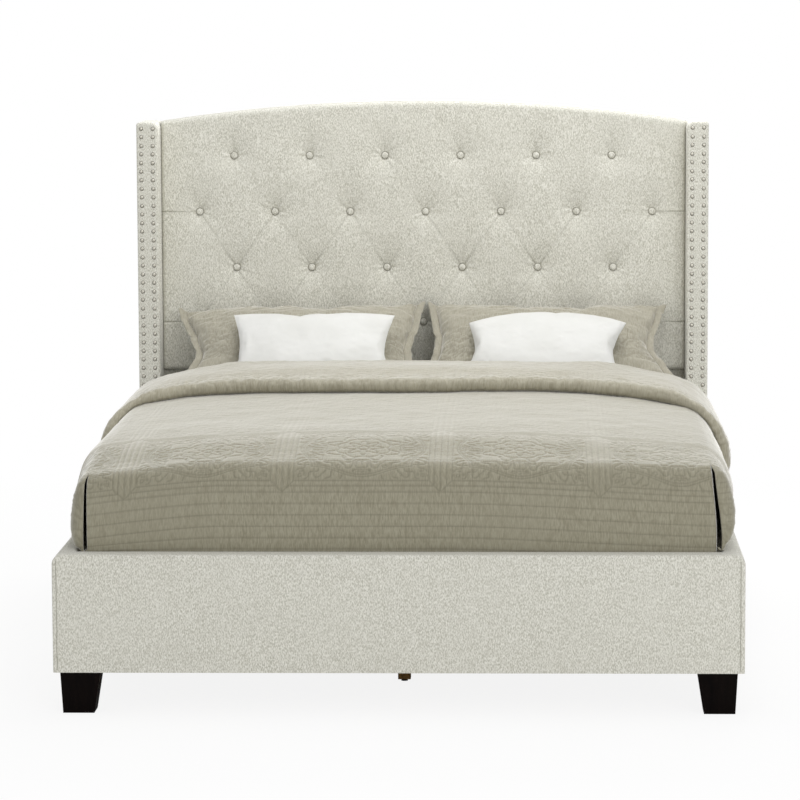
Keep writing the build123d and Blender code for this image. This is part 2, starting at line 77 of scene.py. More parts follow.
# The narrow rim round a button, where the cloth is pressed in
RIM_RADIUS, RIM_WIDTH, RIM_DEPTH = 0.0106, 0.0016, 0.0035
ROW_SHIFT = (-0.001, 0.007, 0.004, 0.0)
ROW_LIFT = (0.004, 0.001, -0.001, 0.0)
# The pad's grid: its step, and the finer step near the lines of buttons
PAD_STEP = 0.0027
PAD_FINE = 0.0012
PLEAT_REACH = 0.013
PLEAT_FADE = 0.012
# Creases of the slanted pleats below each row of buttons
PLEAT_CREASES = (0.0012, 0.0034, 0.0030)

# Nailheads on the wings
NAIL_COLUMNS = (0.0155, 0.0495)
NAIL_TOP_DROP = 0.018
NAIL_PITCH = 0.0254
NAIL_COUNT = 37
NAIL_RADIUS = 0.0055
NAIL_JITTER = 0.0006

# Upright seams on the face of the footboard, measured from its ends
SEAM_INSET = 0.011

# Quilt: the sheet is described by U across the bed and V along it, measured on the cloth
QUILT_TOP = 0.609
QUILT_HEM = 0.377
SIDE_HEM = 0.396
# Its grid: the step of the foot drop and across, the step down the sides and along the top up
# to FOOT_STEP_END, and the step along the top from there
CLOTH_STEP = 0.0026
FLANK_STEP = 0.0034
FOOT_STEP_END = -0.72
TOP_STEP = 0.0055
LEVEL_HALF = 0.742
FOOT_HALF = 0.757
FOOT_LEVEL_Y = -1.000
FOOT_FLARE = 0.26
FLAP_REACH = {-1: 0.045, 1: 0.058}
FLAP_LENGTH = 0.075
FLAP_TURNS = (88, 84, 79, 73, 66, 58, 49, 40, 30, 20, 10)
SLIT_GAP = {-1: (0.007, 0.010), 1: (0.009, 0.026)}
QUILT_END_Y = 0.500
SQUARE_PITCH = 0.384
SQUARE_U = 0.1015
FRAME_LINES = (0.0, 0.0153, 0.0281)
CHANNEL_PITCH = 0.0280
DOME = 0.036
LAST_LINE_Z = 0.5365
PUFF = 0.0019
CHANNEL_PUFF = 0.0008
# Half width of a stitched groove, that of the line of painted shade in it, and how far the lines of
# stitching run low at the right
STITCH_WIDTH = 0.0034
STITCH_SHADE = 0.0018
STITCH_SINK = 0.0225

rng = np.random.default_rng(7)
NOISE_TABLE = rng.uniform(-1, 1, (128, 128))


def noise(u, v, cell, shift=0):
    """Smooth noise from -1 to 1 whose features are about one cell wide."""
    u = np.asarray(u) / cell + shift * 17.3
    v = np.asarray(v) / cell + shift * 5.9
    i = np.floor(u).astype(int)
    j = np.floor(v).astype(int)
    a = u - i
    b = v - j
    a = a * a * (3 - 2 * a)
    b = b * b * (3 - 2 * b)
    size = len(NOISE_TABLE)
    low = NOISE_TABLE[i % size, j % size] * (1 - a) + NOISE_TABLE[(i + 1) % size, j % size] * a
    far = (j + 1) % size
    high = NOISE_TABLE[i % size, far] * (1 - a) + NOISE_TABLE[(i + 1) % size, far] * a
    return low * (1 - b) + high * b


def smooth_step(x, low, high):
    """0 up to low, 1 from high on, and an even S curve in between."""
    t = np.clip((np.asarray(x) - low) / (high - low), 0, 1)
    return t * t * (3 - 2 * t)


def bell(x, width):
    return np.exp(-((x / width) ** 2))


def run_along(points):
    """The length from the first point to each point, along the line through them."""
    return np.concatenate([[0], np.cumsum(np.linalg.norm(np.diff(points, axis=0), axis=1))])


def smooth_curve(points, count):
    """A smooth line through the points, with count places spaced evenly along it."""
    p = np.array(points, float)
    ends = np.vstack([2 * p[0] - p[1], p, 2 * p[-1] - p[-2]])
    dense = []
    for k in range(1, len(ends) - 2):
        t = np.linspace(0, 1, 24, endpoint=False)[:, None]
        a, b, c, d = ends[k - 1], ends[k], ends[k + 1], ends[k + 2]
        dense.append(
            0.5 * (2 * b + (c - a) * t + (2 * a - 5 * b + 4 * c - d) * t**2 + (3 * b - a - 3 * c + d) * t**3)
        )
    dense = np.vstack(dense + [p[-1:]])
    length = run_along(dense)
    at = np.linspace(0, length[-1], count)
    return np.stack([np.interp(at, length, dense[:, k]) for k in range(p.shape[1])], axis=1), at


# Meshes

def added_object(name, data):
    made = bpy.data.objects.new(name, data)
    bpy.context.scene.collection.objects.link(made)
    return made


def grid_faces(rows, columns, wrap=False):
    """The quads of a grid of points; wrap joins the last column to the first."""
    index = np.arange(rows * columns).reshape(rows, columns)
    if wrap:
        index = np.concatenate([index, index[:, :1]], axis=1)
    corners = [index[:-1, :-1], index[:-1, 1:], index[1:, 1:], index[1:, :-1]]
    return np.stack([c.ravel() for c in corners], axis=1)


def grid_normals(points):
    """The unit normal at each point of a grid."""
    along_rows = np.gradient(points, axis=0)
    along_columns = np.gradient(points, axis=1)
    normal = np.cross(along_columns, along_rows)
    return normal / np.maximum(np.linalg.norm(normal, axis=2, keepdims=True), 1e-12)


class Builder:
    """Collects grids and other patches of one piece, then makes its mesh."""

    def __init__(self):
        self.points = []
        self.faces = []
        self.values = []
        self.count = 0

    def add(self, points, faces, value=None):
        points = np.asarray(points, float).reshape(-1, 3)
        self.points.append(points)
        for face in faces:
            self.faces.append([int(i) + self.count for i in face])
        self.values.append(np.zeros(len(points)) if value is None else np.ravel(value))
        self.count += len(points)

    def add_grid(self, points, value=None, flip=False, wrap=False):
        rows, columns = points.shape[:2]
        faces = grid_faces(rows, columns, wrap)
        self.add(points, faces[:, ::-1] if flip else faces, value)

    def cap(self, ring, flip=False):
        corners = list(range(len(ring)))
        self.add(ring, [corners[::-1] if flip else corners])

    def piece(self, name, finish, slot, merge=0.0, attribute=None):
        mesh = bpy.data.meshes.new(name)
        mesh.from_pydata(np.vstack(self.points).tolist(), [], self.faces)
        if attribute:
            layer = mesh.attributes.new(attribute, "FLOAT", "POINT")
            layer.data.foreach_set("value", np.concatenate(self.values).astype(np.float32))
        if merge:
            weld(mesh, merge)
        mesh.polygons.foreach_set("use_smooth", [True] * len(mesh.polygons))
        mesh.update()
        made = added_object(name, mesh)
        mesh.materials.append(MATERIALS[finish])
        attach(made, "bed")
        return made


def weld(mesh, distance):
    """Joins the points that lie nearer to each other than the distance."""
    work = bmesh.new()
    work.from_mesh(mesh)
    bmesh.ops.remove_doubles(work, verts=work.verts, dist=distance)
    work.to_mesh(mesh)
    work.free()


def lathe(profile, sides):
    """Rings of points round the -Y axis from (radius, height) pairs, the first at the base."""
    angle = np.linspace(0, 2 * math.pi, sides, endpoint=False)
    rings = [
        np.stack([r * np.cos(angle), np.full(sides, -h), r * np.sin(angle)], axis=1) for r, h in profile
    ]
    return np.array(rings)


# Materials

class Graph:
    """The nodes of a material, or of the world, added one call at a time."""

    def __init__(self, owner):
        if isinstance(owner, str):
            owner = bpy.data.materials.new(owner)
        self.owner = owner
        self.owner.use_nodes = True
        self.tree = self.owner.node_tree

    def add(self, kind, inputs=None, **settings):
        node = self.tree.nodes.new("ShaderNode" + kind)
        for key, value in settings.items():
            setattr(node, key, value)
        for key, value in (inputs or {}).items():
            self.set(node.inputs[key], value)
        return node

    def set(self, socket, value):
        if isinstance(value, bpy.types.NodeSocket):
            self.tree.links.new(value, socket)
        else:
            socket.default_value = value

    def place(self):
        return self.add("TexCoord").outputs["Object"]

    def rays(self, kind):
        return self.add("LightPath").outputs[kind]

    def attribute(self, name):
        return self.add("Attribute", attribute_name=name).outputs["Fac"]

    def noise(self, scale, stretch=(1, 1, 1), detail=2.0, roughness=0.5):
        at = self.add("Mapping", {"Vector": self.place(), "Scale": stretch}).outputs["Vector"]
        values = {"Vector": at, "Scale": scale, "Detail": detail, "Roughness": roughness}
        return self.add("TexNoise", values).outputs["Fac"]

    def math(self, operation, a, b=0.0):
        return self.add("Math", {0: a, 1: b}, operation=operation).outputs[0]

    def spread(self, value, low, high, to_low=0.0, to_high=1.0):
        values = {"Value": value, "From Min": low, "From Max": high, "To Min": to_low, "To Max": to_high}
        return self.add("MapRange", values).outputs["Result"]

    def mix(self, factor, a, b, blend="MIX"):
        node = self.add("Mix", data_type="RGBA", blend_type=blend)
        colours = [s for s in node.inputs if s.type == "RGBA"]
        self.set(node.inputs["Factor"], factor)
        for socket, value in zip(colours, (a, b)):
            self.set(socket, value if isinstance(value, bpy.types.NodeSocket) else (*value, 1.0))
        return next(s for s in node.outputs if s.type == "RGBA")

    def bump(self, height, distance, strength=1.0, under=None):
        values = {"Height": height, "Distance": distance, "Strength": strength}
        if under is not None:
            values["Normal"] = under
        return self.add("Bump", values).outputs["Normal"]

    def finish(self, colour, normal=None, **constants):
        shader = self.tree.nodes["Principled BSDF"]
        self.set(shader.inputs["Base Color"], colour)
        if normal is not None:
            self.set(shader.inputs["Normal"], normal)
        for key, value in constants.items():
            shader.inputs[key.replace("_", " ")].default_value = value
        return self.owner


def linen_material():
    """Woven upholstery: short upright flecks in warm grey and cream, with painted shade where the crease
    attribute marks folds, button rims and seams.
    """
    g = Graph("linen_upholstery")
    flecks = g.noise(440, (1, 1, 0.40), roughness=0.55)
    threads = g.noise(900, (1, 1, 0.7), detail=1.0)
    cloud = g.noise(7)
    fleck = g.spread(flecks, 0.36, 0.64)
    colour = g.mix(fleck, (0.405, 0.394, 0.317), (0.850, 0.840, 0.765))
    colour = g.mix(g.spread(cloud, 0.3, 0.7, 0.0, 0.25), colour, (0.66, 0.65, 0.575))
    colour = g.mix(g.spread(threads, 0.25, 0.75, 0.0, 0.35), colour, (0.80, 0.79, 0.73))
    # Painted shade: darkens the cloth toward near black where the crease attribute marks pleat folds, button
    # rims and seams.
    colour = g.mix(g.math("MULTIPLY", g.attribute("crease"), 0.62), colour, (0.17, 0.16, 0.115))
    height = g.math("ADD", flecks, g.math("MULTIPLY", threads, 0.35))
    normal = g.bump(height, 0.0016, 0.75)
    return g.finish(colour, normal, Roughness=0.95, Sheen_Weight=0.25, Sheen_Roughness=0.5)


# Colours of the quilted cotton: dark and light threads, ribs, haze, and the painted shade of stitched
# grooves
QUILT_COLOURS = (
    (0.236, 0.217, 0.151),
    (0.348, 0.328, 0.245),
    (0.345, 0.325, 0.245),
    (0.300, 0.281, 0.207),
    (0.120, 0.108, 0.070),
)


def quilted_material(name, painted_light_tint=(1.0, 1.0, 1.0)):
    """Sage grey cotton: a fine ribbed weave, with painted shade in the stitched grooves; a colour factor
    gives lighter copies that stand in for light.
    """
    # The colour factor lifts the colours of a copy to stand in for the light it gets.
    dark, light, rib, hazy, groove = np.array(QUILT_COLOURS) * painted_light_tint
    g = Graph(name)
    slub = g.noise(420, (1, 0.16, 0.16), roughness=0.6)
    ribs = g.noise(130, (1, 0.10, 0.10))
    crinkle = g.noise(60, (0.7, 1.3, 1.3))
    cloud = g.noise(5)
    colour = g.mix(g.spread(slub, 0.35, 0.65), dark, light)
    colour = g.mix(g.spread(ribs, 0.3, 0.7, 0.0, 0.30), colour, rib)
    colour = g.mix(g.spread(cloud, 0.35, 0.65, 0.0, 0.35), colour, hazy)
    # Painted shade: the stitch attribute darkens the stitched grooves toward the groove colour.
    colour = g.mix(g.math("MULTIPLY", g.attribute("stitch_painted_shade"), 0.38), colour, groove)
    normal = g.bump(slub, 0.0005, 0.5)
    normal = g.bump(g.math("ADD", ribs, crinkle), 0.0009, 0.8, under=normal)
    sheen = (0.98, 0.97, 0.93, 1.0)
    return g.finish(colour, normal, Roughness=0.85, Sheen_Weight=1.0, Sheen_Roughness=0.36, Sheen_Tint=sheen)


def white_cotton_material():
    g = Graph("white_cotton")
    warp = g.noise(700, (1, 0.25, 0.25), detail=1.5)
    weft = g.noise(700, (0.25, 1, 1), detail=1.5)
    cloud = g.noise(9)
    colour = g.mix(g.spread(cloud, 0.3, 0.7), (0.70, 0.70, 0.672), (0.76, 0.76, 0.738))
    normal = g.bump(g.math("ADD", warp, weft), 0.0006, 0.5)
    return g.finish(colour, normal, Roughness=0.9, Sheen_Weight=0.2, Sheen_Roughness=0.5)


def ticking_material():
    g = Graph("mattress_ticking")
    knit = g.noise(520, (1, 1, 0.5), detail=1.5)
    colour = g.mix(g.spread(knit, 0.35, 0.65), (0.70, 0.69, 0.65), (0.82, 0.81, 0.775))
    normal = g.bump(knit, 0.001, 0.5)
    return g.finish(colour, normal, Roughness=0.9, Sheen_Weight=0.2, Sheen_Roughness=0.5)


def wood_material(name, dark, light, stretch, roughness, shine=0.4):
    """Grain drawn out along the axis whose stretch is smallest."""
    g = Graph(name)
    grain = g.noise(60, stretch, detail=4.0, roughness=0.65)
    pores = g.noise(540, stretch)
    colour = g.mix(g.spread(grain, 0.32, 0.68), dark, light)
    colour = g.mix(g.spread(pores, 0.25, 0.45, 0.45, 0.0), colour, tuple(c * 0.5 for c in dark))
    normal = g.bump(g.math("ADD", grain, g.math("MULTIPLY", pores, 0.5)), 0.0005, 0.4)
    return g.finish(colour, normal, Roughness=roughness, Specular_IOR_Level=shine)


def metal_material(name, colour_low, colour_high, roughness, scale):
    """Brushed metal, darkened as painted shade where a piece's attribute says so."""
    g = Graph(name)
    brushed = g.noise(scale, (1, 1, 0.2))
    colour = g.mix(g.spread(brushed, 0.3, 0.7), colour_low, colour_high)
    # Painted shade: darkens the metal toward near black where the attribute marks a nail's rim pressed into
    # the fabric.
    colour = g.mix(g.attribute("nail_rim_shade"), colour, (0.035, 0.030, 0.022))
    normal = g.bump(brushed, 0.0003, 0.3)
    return g.finish(colour, normal, Metallic=1.0, Roughness=roughness)


def plastic_material():
    g = Graph("black_plastic")
    grain = g.noise(1500, detail=1.0)
    colour = g.mix(g.spread(grain, 0.3, 0.7), (0.012, 0.012, 0.012), (0.03, 0.03, 0.03))
    return g.finish(colour, g.bump(grain, 0.0002, 0.5), Roughness=0.55)


MATERIALS = {
    "linen": linen_material(),
    "quilted_cotton": quilted_material("quilted_cotton"),
    # Painted light: a lighter, slightly bluer copy of the quilted cotton for the turned-back band, the
    # quilt's reverse side, standing in for the light on its top.
    "quilt_reverse": quilted_material("quilt_reverse", (1.20, 1.20, 1.26)),
    # Painted light: a lighter, bluer copy of the quilted cotton for the shams, standing in for the light on
    # their tilted faces.
    "sham_cotton": quilted_material("sham_cotton", (1.29, 1.30, 1.42)),
    "white_cotton": white_cotton_material(),
    "ticking": ticking_material(),
    "pine": wood_material("pine", (0.56, 0.38, 0.20), (0.74, 0.57, 0.36), (0.06, 1, 1), 0.6),
    "plywood": wood_material("plywood", (0.50, 0.36, 0.21), (0.66, 0.50, 0.32), (0.1, 1, 1), 0.7),
    "black_wood": wood_material(
        "black_wood", (0.0012, 0.0006, 0.0006), (0.005, 0.0028, 0.0022), (1, 1, 0.07), 0.5, shine=0.05
    ),
    "golden_wood": wood_material(
        "golden_wood", (0.20, 0.10, 0.022), (0.36, 0.20, 0.055), (1, 1, 0.07), 0.5, shine=0.3
    ),
    "nickel": metal_material("nickel", (0.48, 0.46, 0.40), (0.58, 0.56, 0.50), 0.55, 900),
    "steel": metal_material("steel", (0.38, 0.38, 0.39), (0.55, 0.55, 0.56), 0.42, 400),
    "black_plastic": plastic_material(),
}


EDGE_WIDTHS = {"pine": 0.0015, "black_wood": 0.0025, "golden_wood": 0.0015}


def dress_cad_nodes():
    """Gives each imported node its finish, and rounds the sharp edges of the wood a little."""
    slots = {row["node"]: row["material_slot"] for row in frame["record"]["subparts"]}
    for name, node in frame["nodes"].items():
        node.data.materials.clear()
        node.data.materials.append(MATERIALS[slots[name]])
        if slots[name] in EDGE_WIDTHS:
            joined = node.modifiers.new("joined", "WELD")
            joined.merge_threshold = 0.00002
            edges = node.modifiers.new("edges", "BEVEL")
            edges.width = EDGE_WIDTHS[slots[name]]
            edges.segments = 2
            edges.limit_method = "ANGLE"
            edges.angle_limit = math.radians(40)


# Tufted headboard

def button_places():
    """Button centres as (x, z, row), row by row from the top."""
    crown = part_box("tufted_pad")[1].z
    places = []
    for row, count in enumerate(ROW_COUNTS):
        for i in range(count):
            x = (i - (count - 1) / 2) * BUTTON_PITCH + ROW_SHIFT[row]
            places.append((x, crown - ROW_PITCH * (row + 1) + ROW_LIFT[row], row))
    return places


def pleat_lines(low, high):
    """The pleats as (start, end, crease depth, soft depth)."""
    places = button_places()
    lines = []
    for x, z, row in places:
        for x2, z2, row2 in places:
            if row2 == row + 1 and abs(abs(x2 - x) - BUTTON_PITCH / 2) < 0.02:
                deep = PLEAT_CREASES[row] * (1 + 0.45 * math.sin(x * 31 + x2 * 17))
                lines.append(((x, z), (x2, z2), deep, 0.0024))
        if row == 0:
            lines.append(((x, z), (x, high.z), 0.0010, 0.0022))
        if row == len(ROW_COUNTS) - 1:
            lines.append(((x, z), (x, low.z), 0.0012, 0.0022))
        if abs(x) > 0.6:
            lines.append(((x, z), (math.copysign(high.x, x), z), 0.0026, 0.0010))
    return lines


def button_hollows(x, z):
    """The hollows round the buttons, and how near each point is to a button's rim."""
    hollows = np.zeros_like(x)
    rims = np.zeros_like(x)
    for k, (bx, bz, row) in enumerate(button_places()):
        dx = x - bx
        dz = z - bz
        r = np.hypot(dx, np.where(dz > 0, dz * HOLLOW_ABOVE, dz * HOLLOW_BELOW))
        beyond = np.maximum(r - BUTTON_SEAT, 0)
        steep = DIMPLE_DEPTH * STEEP_SHARE * np.exp(-beyond / STEEP_REACH)
        wide = DIMPLE_DEPTH * WIDE_SHARE * bell(beyond, WIDE_REACH)
        turn = np.arctan2(dz, dx)
        star = 0.0006 * np.cos(7 * turn + k * 1.7) + 0.0005 * np.cos(11 * turn + k * 2.9)
        hollows = np.maximum(hollows, steep + wide + star * bell(r - 0.026, 0.016))
        # The rim mask presses the cloth in and also paints shade round each button.
        rims = np.maximum(rims, 0.8 * bell(np.hypot(dx, dz) - RIM_RADIUS, RIM_WIDTH))
    return hollows, rims


def pleat_valleys(x, z, low, high):
    """The valleys of the pleats, and the painted shade that each point gets along their crease lines."""
    valleys = np.zeros_like(x)
    crease_painted_shade = np.zeros_like(x)
    for (x0, z0), (x1, z1), crease, soft in pleat_lines(low, high):
        ax = x1 - x0
        az = z1 - z0
        t = np.clip(((x - x0) * ax + (z - z0) * az) / math.hypot(ax, az) ** 2, 0, 1)
        away = np.hypot(x - x0 - t * ax, z - z0 - t * az)
        middle = np.abs(t - 0.5) * 2
        flat = soft < 0.002
        strength = np.ones_like(t) if flat else 0.12 + 0.88 * np.where(t > 0.5, middle, middle * 0.6) ** 0.9
        line = strength * bell(away, 0.0024 if flat else 0.0030)
        valley = soft * (0.40 + 0.60 * middle**2) * bell(away, 0.024)
        valleys = np.maximum(valleys, crease * line + valley)
        # Painted shade along each crease line, stronger where the crease is deeper.
        crease_painted_shade = np.maximum(crease_painted_shade, line * min(1.0, crease / 0.0034) * 0.75)
    return valleys, crease_painted_shade


def tuft_field(x, z, low, high):
    """How far the face is drawn in at each point, and the painted shade it gets in the pleat lines and at
    the button rims.
    """
    hollows, rims = button_hollows(x, z)
    valleys, crease_painted_shade = pleat_valleys(x, z, low, high)
    drawn = (hollows**3 + valleys**3) ** (1 / 3) + RIM_DEPTH * rims
    return drawn, np.maximum(crease_painted_shade, rims)


def graded(low, high, centres):
    """The pad's grid places from low to high, closer together in its rims and near the centres."""
    rim = PAD_ROUND * (1 - np.sin(np.linspace(math.pi / 2, 0, 9)))[:-1]
    first = low + PAD_ROUND
    last = high - PAD_ROUND
    places = [first]
    while places[-1] < last:
        away = max(0.0, min(abs(places[-1] - c) for c in centres) - PLEAT_REACH)
        places.append(places[-1] + PAD_FINE + (PAD_STEP - PAD_FINE) * min(1.0, away / PLEAT_FADE))
    inner = first + (np.array(places) - first) * (last - first) / (places[-1] - first)
    return np.concatenate([low + rim, inner, (high - rim)[::-1]])


def make_headboard_pad():
    low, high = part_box("tufted_pad")
    half = high.x
    side_top = high.z - ARCH_RISE
    radius = (half**2 + ARCH_RISE**2) / (2 * ARCH_RISE)
    columns = [BUTTON_PITCH / 2 * i for i in range(-6, 7)]
    levels = sorted({z for x, z, row in button_places()})
    x, z = np.meshgrid(graded(-half, half, columns), graded(low.z, side_top, levels))
    arch = high.z - radius + np.sqrt(radius**2 - x**2)
    z = z + (arch - side_top) * smooth_step(z, levels[-1] + 0.03, side_top - PAD_ROUND)
    from_side = half - np.abs(x)
    from_end = np.minimum(arch - z, z - low.z)
    a = np.clip(PAD_ROUND - from_side, 0, None)
    b = np.clip(PAD_ROUND - from_end, 0, None)
    r = np.clip((a**5 + b**5) ** 0.2 / PAD_ROUND, 0, 1)
    field, crease = tuft_field(x, z, low, high)
    field = field + 0.0006 * noise(x, z, 0.09) + 0.0003 * noise(x, z, 0.03, 1)
    y = low.y + PAD_ROUND * (1 - np.sqrt(1 - r**2)) + np.clip(field, 0, None) * (1 - 0.65 * r**2)
    front = np.stack([x, y, z], axis=2)
    pad = Builder()
    # These values are painted shade for the creases and button rims, carried to the linen by the crease
    # attribute.
    pad.add_grid(front, crease, flip=True)
    border = border_of(front)
    back = border.copy()
    back[:, 1] = high.y - 0.0005
    pad.add_grid(np.stack([border, back]), flip=True, wrap=True)
    pad.cap(back, flip=True)
    made = pad.piece("headboard_pad", "linen", "linen", merge=0.00005, attribute="crease")
    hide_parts("tufted_pad")


def domed(profile, sides, centres, values=None, floor=False):
    """A dome of that profile at each centre, with a floor under it where one is asked for."""
    dome = lathe(profile, sides)
    if values is not None:
        values = np.repeat(np.array(values)[:, None], sides, axis=1)
    domes = Builder()
    for centre in centres:
        rings = dome + np.array(centre)
        domes.add_grid(rings, values, flip=True, wrap=True)
        domes.cap(rings[-1], flip=True)
        if floor:
            domes.cap(rings[0])
    return domes


BUTTON_DOME = (
    (0.0080, -0.0020), (0.0094, 0.0018), (0.0095, 0.0034), (0.0088, 0.0050), (0.0068, 0.0062),
    (0.0040, 0.0068), (0.0013, 0.0070),
)
# Share of a nail's radius, the height there, and how much painted shade it gets
NAIL_DOME = (
    (1.08, -0.0006, 1.0), (1.08, 0.0002, 1.0), (0.92, 0.0005, 1.0), (0.90, 0.00096, 0.25),
    (0.70, 0.001728, 0.0), (0.42, 0.002232, 0.0), (0.12, 0.0024, 0.0),
)


def make_buttons():
    """Fabric covered domes, each with a turned-under rim."""
    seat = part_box("tufted_pad")[0].y + DIMPLE_DEPTH + 0.0004
    centres = [(x, seat, z) for x, z, row in button_places()]
    buttons = domed(BUTTON_DOME, 24, centres, floor=True)
    made = buttons.piece("headboard_buttons", "linen", "linen", merge=0.00002)
    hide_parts("tuft_buttons")


def make_nailheads():
    """Domed nails, each over a narrow rim with painted shade where it presses the fabric in."""
    profile = [(share * NAIL_RADIUS, height) for share, height, dark in NAIL_DOME]
    rim_shade = [dark for share, height, dark in NAIL_DOME]
    low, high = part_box("wing_cover_right")
    for side, name in ((-1, "left"), (1, "right")):
        centres = []
        for column in NAIL_COLUMNS:
            for i in range(NAIL_COUNT):
                x = side * (low.x + column) + NAIL_JITTER * math.sin(i * 7.1 + column * 900)
                z = high.z - NAIL_TOP_DROP - i * NAIL_PITCH + NAIL_JITTER * math.sin(i * 3.3 + side)
                centres.append((x, low.y, z))
        # The last values give each nail's lowest rings painted shade.
        nails = domed(profile, 14, centres, rim_shade)
        made = nails.piece(f"nailheads_{name}", "nickel", "nickel", merge=0.00001, attribute="nail_rim_shade")
        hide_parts(f"wing_nailheads_{name}")


def make_footboard_seams():
    """The two upright seams near the ends of the footboard's face, each a narrow strip with painted shade
    along it.
    """
    low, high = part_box("footboard_cover")
    across = np.array([-0.0016, -0.0008, 0.0, 0.0008, 0.0016])
    out = np.array([0.0004, -0.0005, -0.0008, -0.0005, 0.0004])
    z = np.arange(low.z + 0.006, high.z - 0.012, 0.004)
    for side, name in ((-1, "left"), (1, "right")):
        x = side * (high.x - SEAM_INSET) + 0.0005 * noise(z, 0, 0.05, 30 + side)
        points = np.zeros((len(z), len(across), 3))
        points[..., 0] = x[:, None] + across
        points[..., 1] = low.y + out
        points[..., 2] = z[:, None]
        seam = Builder()
        # Painted shade: the strip gets a high crease value, which darkens the linen along the seam's groove.
        seam.add_grid(points, np.full(points.shape[:2], 0.8))
        seam.piece(f"footboard_seam_{name}", "linen", "linen", attribute="crease")


# Quilt

def leaf_distance(a, b, cell, spacing, shift):
    """Distance to the level lines of a smooth random field, which read as winding leaves."""
    step = 0.0006
    value = noise(a, b, cell, shift)
    slope = np.hypot(noise(a + step, b, cell, shift) - value, noise(a, b + step, cell, shift) - value) / step
    off = np.abs((value / spacing + 0.5) % 1 - 0.5) * spacing
    return off / np.maximum(slope, 8.0)


def ornament_distance(a, b):
    """Distance to the stitched ornament of one square: swags along the sides, leaves and petals."""
    r = np.hypot(a, b)
    angle = np.arctan2(b, a)
    high = np.maximum(np.abs(a), np.abs(b))
    low = np.minimum(np.abs(a), np.abs(b))
    inset = SQUARE_PITCH / 2 - FRAME_LINES[-1] - high
    swag = 0.010 + 0.0165 * (1 - np.cos(math.pi * np.clip(low / 0.122, 0, 1)))
    off = inset - swag
    leaves = leaf_distance(high, low * 0.8, 0.020, 0.70, 13)
    sprays = leaf_distance(high * 0.8, low, 0.0135, 0.95, 21)
    inner = (off > 0.012) & (r > 0.072)
    outer = (off < -0.005) & (inset > 0.003) & (low > 0.045)
    lines = (
        np.abs(off),
        np.abs(off - 0.007),
        np.abs(r - 0.058 - 0.009 * np.abs(np.sin(4 * angle))),
        np.abs(r - 0.036 - 0.012 * np.cos(8 * angle)) * 0.75,
        np.abs(r - 0.012),
        np.where(inner, leaves, 1.0),
        np.where(outer, sprays, 1.0),
    )
    return np.minimum.reduce(lines)


def stitch_distance(u, v):
    """Distance on the cloth to the nearest line of stitching, which runs a little low at the right."""
    v = v + STITCH_SINK * smooth_step(u, 0.10, 0.78)
    half = SQUARE_PITCH / 2
    a = (u - SQUARE_U) % SQUARE_PITCH - half
    b = v % SQUARE_PITCH - half
    inset = half - np.maximum(np.abs(a), np.abs(b))
    best = np.minimum.reduce([np.abs(inset - line) for line in FRAME_LINES])
    mitre = np.abs(np.abs(a) - np.abs(b)) / math.sqrt(2)
    best = np.where(inset < FRAME_LINES[-1], np.minimum(best, mitre), best)
    field = np.where(inset > FRAME_LINES[-1] + 0.003, ornament_distance(a, b), 1.0)
    best = np.minimum(best, field)
    channel = np.abs((-v + CHANNEL_PITCH / 2) % CHANNEL_PITCH - CHANNEL_PITCH / 2)
    return np.where(v > 0, best, channel)


def quilted(points, u, v, strength=1.0, turned=False):
    """Raises the cloth between its stitches and crumples it a little; returns it with the painted shade
    along its stitches.
    """
    away = stitch_distance(u, v)
    shown = strength * (1 - 0.75 * smooth_step(v, 0.20, 0.62))
    depth = np.where(v > 0, PUFF, CHANNEL_PUFF) * shown
    crumple = 0.0005 * noise(u, v, 0.021, 2) + 0.0012 * noise(u, v, 0.075, 3)
    height = crumple - depth * bell(away, STITCH_WIDTH)
    normal = grid_normals(points) * (-1 if turned else 1)
    return points + normal * height[..., None], bell(away, STITCH_SHADE) * shown


# Sections of the quilt's drops: how far out from the edge of the top, and the height there
SIDE_DROP = (
    (0.0, QUILT_TOP), (0.030, 0.602), (0.058, 0.576), (0.078, 0.534), (0.087, 0.484), (0.076, 0.436),
    (0.046, 0.410), (0.026, SIDE_HEM),
)
FOOT_DROP = (
    (0.0, QUILT_TOP), (0.022, 0.606), (0.042, 0.595), (0.056, 0.574), (0.063, 0.545), (0.0655, 0.500),
    (0.0645, 0.430), (0.0630, QUILT_HEM),
)
# How each edge of the quilt is rolled under: steps inwards and to the side
FOOT_DROP_EDGE = ((0.0030, 0.0012), (0.0060, 0.0004), (0.0100, -0.0050))
FLAP_EDGE = ((0.0020, 0.0012), (0.0060, 0.0010), (0.0110, -0.0040))
SIDE_EDGE = ((0.0030, -0.0010), (0.0070, 0.0010), (0.0110, 0.0060))
ACROSS, HEADWARD, UP = np.eye(3)
SIDE_CURVE, SIDE_ALONG = smooth_curve(SIDE_DROP, 160)
FOOT_CURVE, FOOT_ALONG = smooth_curve(FOOT_DROP, 160)
FOOT_V = float(np.interp(-LAST_LINE_Z, -FOOT_CURVE[:, 1], FOOT_ALONG))


def down_side(arc):
    """How far out and how high the cloth lies at that length down a side."""
    return np.interp(arc, SIDE_ALONG, SIDE_CURVE[:, 0]), np.interp(arc, SIDE_ALONG, SIDE_CURVE[:, 1])


def half_width(y):
    """The flat top's half width, a little wider at the foot."""
    headward = smooth_step(y, FOOT_LEVEL_Y, FOOT_LEVEL_Y + FOOT_FLARE)
    return LEVEL_HALF + (FOOT_HALF - LEVEL_HALF) * (1 - headward)


def side_reach(side, y):
    """How much of the side's bulge is left near the foot corner."""
    foot = 1 - smooth_step(y, FOOT_LEVEL_Y, FOOT_LEVEL_Y + FOOT_FLARE * 1.3)
    kept = np.where(side < 0, FLAP_REACH[-1], FLAP_REACH[1]) / SIDE_CURVE[:, 0].max()
    return 1 - foot * (1 - kept)


